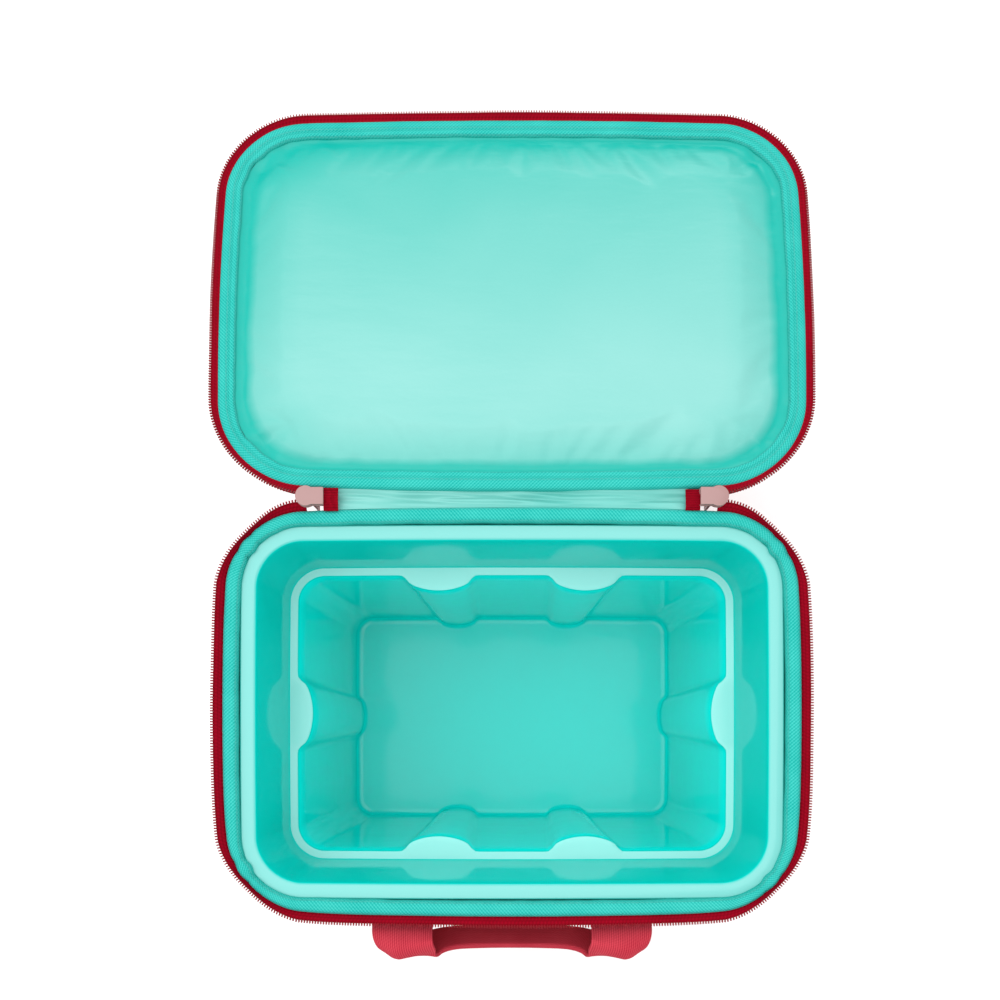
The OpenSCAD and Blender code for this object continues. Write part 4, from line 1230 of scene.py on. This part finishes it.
pocket_side = Profile((0.0, POCKET_Z), (0.45, POCKET_Z + 1), (0.72, POCKET_Z + 5), (0.88, POCKET_Z + 16),
                      (0.97, POCKET_Z + 50),
                      (1.05, POCKET_Z + 120), (1.0, POCKET_TOP - 40), (0.97, POCKET_TOP - 14), (0.93, POCKET_TOP - 5),
                      (0.84, POCKET_TOP - 1.2), (0.7, POCKET_TOP), (0.35, POCKET_TOP + 0.2), (0.0, POCKET_TOP + 0.2))


def pocket_rule(u, v):
    share, z = pocket_rows[int(round(v * 60))]
    x = (2 * u - 1) * pocket_half(z)
    round_out = max(0.0, 1 - abs(2 * u - 1) ** 2.4) ** 0.62
    soft = wobble(x * MM, 0, z * MM, 0.06, 5.0) * 0.9 + wobble(x * MM, 0, z * MM, 0.02, 8.0) * 0.25
    out = share * (POCKET_OUT + (soft if 0.05 < share and z < POCKET_TOP - 8 else 0)) * round_out
    return Vector((x * MM, -wall_y(x * MM) - out * MM, z * MM))


pocket_rows = []
for i in range(61):
    scaled = Profile(*[(p.x * POCKET_OUT, p.y) for p in pocket_side.points])
    spot = scaled.at(i / 60)
    pocket_rows.append((spot.x / POCKET_OUT, spot.y))
pocket = lay("pocket_cloth", 120, 60, pocket_rule)
facing_front = sum(-p.normal.y * p.area for p in pocket.data.polygons)
if facing_front < 0:
    clear()
    pocket.select_set(True)
    bpy.context.view_layer.objects.active = pocket
    bpy.ops.object.mode_set(mode="EDIT")
    bpy.ops.mesh.select_all(action="SELECT")
    bpy.ops.mesh.flip_normals()
    bpy.ops.object.mode_set(mode="OBJECT")
modify(pocket, "SOLIDIFY", thickness=0.9 * MM, offset=-1)
finished(pocket, red_cloth)
put(pocket, "bag", "shell_fabric", "front_pocket")


def pocket_seam(t):
    """Down the left side, along the bottom and up the right side."""
    r, high = 34.0, POCKET_TOP - POCKET_Z - 34.0
    arc = r * math.pi / 2
    low = POCKET_W - 2 * r
    goal = t * (2 * high + 2 * arc + low)
    if goal < high:
        x, z = -POCKET_W / 2, POCKET_TOP - goal
    elif goal < high + arc:
        turn = (goal - high) / r
        x, z = -POCKET_W / 2 + r - r * math.cos(turn), POCKET_Z + r - r * math.sin(turn)
    elif goal < high + arc + low:
        x, z = -POCKET_W / 2 + r + goal - high - arc, POCKET_Z
    elif goal < high + 2 * arc + low:
        turn = (goal - high - arc - low) / r
        x, z = POCKET_W / 2 - r + r * math.sin(turn), POCKET_Z + r - r * math.cos(turn)
    else:
        x, z = POCKET_W / 2, POCKET_Z + r + goal - high - 2 * arc - low
    return Vector((x * MM, -wall_y(x * MM) - 1.9 * MM, z * MM))


pocket_cord = tube("pocket_piping", pocket_seam, 1.7 * MM, 240)
finished(pocket_cord, red_piping)
put(pocket_cord, "bag", "shell_fabric")
print("pocket piping faces", len(pocket_cord.data.polygons))

# %% Pocket zip
zip_low, zip_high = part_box("pocket_zip")


def pocket_zip_rule(u, v):
    x = zip_low.x + (zip_high.x - zip_low.x) * u
    y = zip_low.y - 1.2 * MM + (zip_high.y - zip_low.y + 2.4 * MM) * v
    crown = 0.5 * math.sin(v * math.pi)
    return Vector((x, y, zip_low.z + (0.35 + crown) * MM))


pocket_tape = lay("pocket_zip_band", 160, 16, pocket_zip_rule)
if sum(p.normal.z for p in pocket_tape.data.polygons) < 0:
    outwards(pocket_tape, inside=True)
modify(pocket_tape, "SOLIDIFY", thickness=0.8 * MM, offset=-1)
finished(pocket_tape, woven_band("pocket_zip_weave", (0.30, 0.001, 0.010), (0.17, 0.000, 0.005), 8, 0.226, 0.0105,
                                 0.0009))
put(pocket_tape, "bag", "zip_tape", "pocket_zip")
spacing = 2.1 * MM
zip_middle = (zip_low.y + zip_high.y) / 2
tooth_count = int((zip_high.x - zip_low.x) / spacing)
coil = [Matrix.Translation((zip_low.x + spacing * (i + 0.5), zip_middle + (0.5 if i % 2 else -0.5) * MM,
                            zip_low.z + 1.25 * MM)) @ Matrix.Scale(0.8, 4) for i in range(tooth_count)]
pocket_coil = finished(repeat("pocket_zip_teeth", tooth_shape, coil), red_teeth, 30)
put(pocket_coil, "bag", "zip_teeth")
print("pocket done")

# %% [markdown]
# A blank woven label is sewn over the top edge of the pocket. It is a folded strip of cream canvas, so its top is
# round and a few millimetres thick.

# %% Label patch
patch_low, patch_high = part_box("label_patch")
cream = woven_band("cream_canvas", (0.78, 0.70, 0.55), (0.58, 0.49, 0.36), 30, 0.084, 0.036, 0.0008,
                   stitches=((0.93, (0.62, 0.10, 0.10)), (0.30, (0.62, 0.10, 0.10))))


def patch_rule(u, v):
    x = patch_low.x + (patch_high.x - patch_low.x) * u
    front = -wall_y(x) - POCKET_OUT * MM * max(0.0, 1 - abs(x / (POCKET_W / 2 * MM)) ** 2.4) ** 0.62
    outline = ((2.6, 281.0), (0.6, 283.2), (-1.6, 284.0), (-3.4, 283.0), (-4.2, 279), (-3.2, 268), (-2.6, 256),
               (-2.2, 249), (-0.6, 247.6))
    spot = Profile(*outline).at(v)
    sag = 0.35 * wobble(x, 0, spot.y * MM, 0.02, 4.0)
    return Vector((x, front + (spot.x + sag) * MM, spot.y * MM))


patch = lay("blank_label", 60, 40, patch_rule)
outwards(patch)
if sum(-p.normal.y * p.area for p in patch.data.polygons) < 0:
    outwards(patch, inside=True)
modify(patch, "SOLIDIFY", thickness=0.7 * MM, offset=-1)
finished(patch, cream)
put(patch, "bag", "patch", "label_patch")
print("label faces", len(patch.data.polygons))

# %% [markdown]
# ## Front strap
# The grab strap is ribbed webbing sewn to the wall at two places. Each root climbs forward, rolls over and turns on
# edge, and the middle is folded double into a grip. The path is a smooth curve through stations that give the place,
# the turn of the band's width and how far it's folded. They repeat the CAD strap's, so the two lie together.

# %% Strap path
ROOT_Y, ROOT_Z, STRAP_PITCH = -135.9, 329.0, 144.0
stations = [(0, 0, 0, 0, 0), (0, -8, 8, 0, 0), (0.5, -17, 11, 3, 0), (2, -24, 5, 8, 0), (5, -26, -5, 16, 0.2),
            (11, -24, -14, 30, 0.5), (20, -20.5, -20, 50, 0.8), (33, -18.5, -23, 70, 1), (52, -17.8, -24, 84, 1),
            (72, -17.6, -24, 90, 1)]
half = [((-STRAP_PITCH / 2 + a), ROOT_Y + b, ROOT_Z + c, turn, fold) for a, b, c, turn, fold in stations]
whole = half + [(-x, y, z, 180 - turn, fold) for x, y, z, turn, fold in reversed(half[:-1])]


def strap_at(t):
    """The strap's middle, the way of its width, and its fold at share t of its stations."""
    spot = t * (len(whole) - 1)
    i = min(int(spot), len(whole) - 2)
    s = spot - i
    p0, p1, p2, p3 = (whole[max(0, min(len(whole) - 1, i + k))] for k in (-1, 0, 1, 2))
    out = []
    for a, b, c, d in zip(p0, p1, p2, p3):
        out.append(0.5 * (2 * b + (c - a) * s + (2 * a - 5 * b + 4 * c - d) * s * s + (3 * b - a - 3 * c + d) * s ** 3))
    turn, fold = math.radians(out[3]), max(0.0, min(1.0, out[4]))
    return Vector(out[:3]), Vector((math.cos(turn), -0.62 * fold * math.sin(turn), math.sin(turn))), fold


def strap_rule(u, v):
    spot, width, fold = strap_at(u)
    way = (strap_at(min(1, u + 0.004))[0] - strap_at(max(0, u - 0.004))[0]).normalized()
    width = (width - way * width.dot(way)).normalized()
    face = way.cross(width)
    w, t = 40 * (1 - fold / 2), 2.2 * (1 + 0.9 * fold)
    section = Profile((-w / 2, -t / 2), (-w / 2, t / 2), (w / 2, t / 2), (w / 2, -t / 2), (-w / 2, -t / 2))
    a = section.at(v)
    edge = max(0.0, 1 - (w / 2 - abs(a.x)) / 1.2)
    cup = (a.x / (w / 2)) ** 2 * 0.9 * (1 - fold) * math.sin(min(1, u * 8, (1 - u) * 8) * math.pi / 2)
    ripple = 0.16 * math.sin((a.x + w / 2) / w * math.pi * 2 * 28) * (1 - edge)
    high = a.y * (1 - 0.35 * edge) + math.copysign(ripple, a.y) * (1 - 0.6 * fold) + cup
    stage = u * (len(whole) - 1)
    stage = min(stage, len(whole) - 1 - stage)
    roll = math.exp(-((stage - 3.2) / 1.5) ** 2)
    outer = max(0.0, -a.x) / 20
    bent = math.radians(62) * roll * outer
    x = a.x if a.x > 0 else a.x * math.cos(bent)
    drop = -a.x * math.sin(bent) * 0.8 if a.x < 0 else 0.0
    move = Vector((0, 0.30 * roll * max(a.x, -6), -drop))
    return (spot + width * x + face * high + move) * MM


webbing = woven_band("red_webbing", (0.58, 0.060, 0.085), (0.30, 0.004, 0.018), 58, 0.30, 0.084, 0.0015, line_share=0.8)
strap = lay("grab_strap", 200, 232, strap_rule, closed=True)
outwards(strap)
finished(strap, webbing, 70)
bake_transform(strap)
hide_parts("front_strap")
print("strap points", len(strap.data.vertices))

# %% [markdown]
# Each root is held by a patch of the same webbing, sewn with a box and a cross. The thread is real geometry: one
# short rounded stitch, repeated along each line.

# %% Anchors and their stitches
anchor_low, anchor_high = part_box("strap_anchors")
anchor_weave = woven_band("red_anchor_webbing", (0.40, 0.010, 0.030), (0.22, 0.001, 0.008), 28, 0.03, 0.04, 0.0015,
                          line_share=0.8)
clear()
bpy.ops.mesh.primitive_cylinder_add(vertices=6, radius=0.35 * MM, depth=2.3 * MM, rotation=(0, math.radians(90), 0))
bpy.ops.object.transform_apply(location=False, rotation=True, scale=False)
stitch = bpy.context.object
modify(stitch, "BEVEL", width=0.2 * MM, segments=1, limit_method="ANGLE")
stitch_shape = stitch.data.copy()
bpy.data.objects.remove(stitch)
red_thread = textured("red_thread", (0.55, 0.03, 0.06), 0.6, 900, 0.00005)
marks = []
for number, side in enumerate((-1, 1)):
    middle = side * STRAP_PITCH / 2 * MM

    def anchor_rule(u, v, middle=middle):
        x = middle + (v * 2 - 1) * 20 * MM
        z = anchor_low.z + (anchor_high.z - anchor_low.z) * u
        return Vector((x, -wall_y(x) - 1.7 * MM - 0.2 * MM * math.sin(v * math.pi * 30), z))
    anchor = lay("strap_anchor_%d" % (number + 1), 24, 90, anchor_rule)
    if sum(-p.normal.y for p in anchor.data.polygons) < 0:
        outwards(anchor, inside=True)
    modify(anchor, "SOLIDIFY", thickness=1.5 * MM, offset=-1)
    finished(anchor, anchor_weave)
    put(anchor, "bag", "webbing", *(["strap_anchors"] if side < 0 else []))
    left, right = middle - 16 * MM, middle + 16 * MM
    low, high = anchor_low.z + 4 * MM, anchor_high.z - 5 * MM
    for (ax, az), (bx, bz) in (((left, low), (right, low)), ((left, high), (right, high)), ((left, low), (left, high)),
                               ((right, low), (right, high)), ((left, low), (right, high)), ((left, high), (right, low))):
        long = math.hypot(bx - ax, bz - az)
        count = max(3, int(long / (3.1 * MM)))
        for i in range(count):
            share = (i + 0.5) / count
            x, z = ax + (bx - ax) * share, az + (bz - az) * share
            tilt = Matrix.Rotation(-math.atan2(bz - az, bx - ax), 4, "Y")
            marks.append(Matrix.Translation((x, -wall_y(x) - 2.0 * MM, z)) @ tilt)
stitches = finished(repeat("anchor_stitches", stitch_shape, marks), red_thread, 30)
put(stitches, "bag", "webbing")
print("stitches", len(marks))

# %% [markdown]
# ## Trolley
# The pull-out handle runs in tubes on the end of the bag, under a cloth sleeve. The sleeve is taut at its corners and
# sinks a little between the tubes. The tubes themselves are straight drawn metal, so the CAD tubes stay and only get
# their finish. Moulded parts are rounded copies.

# %% Sleeve over the tubes
cover_low, cover_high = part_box("trolley_cover")


def sleeve_rule(u, v):
    z = cover_low.z + (cover_high.z - cover_low.z) * v
    deep, wide = (cover_high.x - cover_low.x) / MM - 1.5, cover_high.y / MM
    r = 7.0
    line = Profile((0, -wide), (deep - r, -wide), (deep - r * 0.55, -wide + r * 0.12),
                   (deep - r * 0.12, -wide + r * 0.55),
                   (deep, -wide + r), (deep, -wide * 0.5), (deep, 0), (deep, wide * 0.5), (deep, wide - r),
                   (deep - r * 0.12, wide - r * 0.55), (deep - r * 0.55, wide - r * 0.12), (deep - r, wide), (0, wide))
    spot = line.at(u)
    between = max(0.0, math.cos(spot.y / 46 * math.pi / 2)) if abs(spot.y) < 46 else 0.0
    mid = math.sin(v * math.pi)
    sink = 1.6 * between * mid if spot.x > deep - 1 else 0.0
    folds = 0.5 * wobble(0, spot.y * MM * 0.5, z, 0.02, 3.0) * mid + 0.3 * wobble(0, spot.y * MM, z, 0.05, 6.0)
    return Vector((cover_low.x + (spot.x - sink + (folds if spot.x > deep - 1 else 0)) * MM,
                   (spot.y + (folds * 0.6 * math.copysign(1, spot.y) if spot.x <= deep - 1 else 0)) * MM, z))


sleeve = lay("trolley_sleeve", 150, 70, sleeve_rule)
if sum(p.normal.x * p.area for p in sleeve.data.polygons) < 0:
    outwards(sleeve)
    if sum(p.normal.x * p.area for p in sleeve.data.polygons) < 0:
        outwards(sleeve, inside=True)
modify(sleeve, "SOLIDIFY", thickness=0.9 * MM, offset=1)
finished(sleeve, red_cloth)
put(sleeve, "bag", "shell_fabric", "trolley_cover")
hems = ((cover_low.z + 3 * MM, "sleeve_hem_low"), (cover_high.z - 3 * MM, "sleeve_hem_high"))
for number, (level, name) in enumerate(hems):
    def hem(t, level=level):
        p = sleeve_rule(t, (level - cover_low.z) / (cover_high.z - cover_low.z))
        proud = 0.6 * MM if 0.2 < t < 0.8 else 0
        aside = 0.5 * MM * math.copysign(1, p.y) if not 0.25 < t < 0.75 else 0
        return Vector((p.x + proud, p.y + aside, level))
    band = tube(name, hem, 2.6 * MM, 150, 10)
    finished(band, red_piping)
    put(band, "bag", "shell_fabric")
print("sleeve hems", len(hems))

# %% Moulded trolley parts
for node, width in (("trolley_backplate", 1.0), ("trolley_bezel", 1.4), ("trolley_foot", 1.4)):
    put(rounded_copy(node, width * MM, 3, black_plastic), "bag", "black_plastic", node)
put(rounded_copy("grip_outer_half", 1.6 * MM, 3, black_plastic), "grip", "black_plastic", "grip_outer_half")
put(rounded_copy("grip_inner_half", 1.6 * MM, 3, black_plastic), "grip", "black_plastic", "grip_inner_half")
put(rounded_copy("release_button", 0.25 * MM, 2, grey_plastic), "button", "grey_plastic", "release_button")
print("trolley parts done")

# %% [markdown]
# ## Base
# The tray, the skid and the wheel housings are moulded nylon with a fine spark grain. The tyres are rubber with a
# zigzag tread, made as a strip round the wheel whose grooves are pressed into the grid.

# %% Tray, skid and housings
for node, width in (("base_tray", 1.0), ("foot_skid", 1.5), ("wheel_housings", 0.9)):
    put(rounded_copy(node, width * MM, 2, black_plastic), "bag", "black_plastic", node)
for side in ("front", "back"):
    hub = rounded_copy(side + "_wheel_hub", 0.5 * MM, 2, grey_plastic)
    put(hub, side + "_wheel", "grey_plastic", side + "_wheel_hub")
    tyre_low, tyre_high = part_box(side + "_wheel_tyre")
    middle = (tyre_low + tyre_high) / 2
    outer = (tyre_high.z - tyre_low.z) / 2
    width = tyre_high.y - tyre_low.y
    far, half = outer / MM, width / MM / 2
    tread = Profile((far - 7, -half + 0.3), (far - 3, -half), (far - 1.2, -half + 0.5), (far - 0.2, -half + 1.9),
                    (far, -half + 3.4), (far, 0), (far, half - 3.4), (far - 0.2, half - 1.9), (far - 1.2, half - 0.5),
                    (far - 3, half), (far - 7, half - 0.3), (far - 7, -half + 0.3))

    def tyre_rule(u, v):
        spot = tread.at(v)
        turn = u * 2 * math.pi
        zig = (u * 44 + abs(spot.y) * 0.09) % 1.0
        groove = 0.7 if spot.x > outer / MM - 0.6 and (zig < 0.2 or abs(spot.y) < 0.5) else 0.0
        r = (spot.x - groove) * MM
        return Vector((middle.x + r * math.cos(turn), middle.y + spot.y * MM, middle.z + r * math.sin(turn)))
    tyre = lay(side + "_tyre", 352, 44, tyre_rule, closed=True)
    outwards(tyre)
    finished(tyre, tyre_rubber, 30)
    put(tyre, side + "_wheel", "tyre_rubber", side + "_wheel_tyre")
print("wheels done")

# %% Finishes for the CAD pieces that stay
kept = {"outer_tubes": tube_metal, "lower_tubes": tube_metal, "middle_tubes": tube_metal, "upper_tubes": tube_metal,
        "front_axle": steel, "back_axle": steel, "axle_clips": steel, "base_screws": steel, "trolley_screws": steel,
        "button_spring": steel, "front_wheel_bush": grey_plastic, "back_wheel_bush": grey_plastic,
        "floor_foam": foam_board}
for node, material in kept.items():
    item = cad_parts[node]
    if not item.material_slots:
        item.data.materials.append(material)
    for slot in item.material_slots:
        slot.material = material
print("kept", len(kept), "CAD pieces")
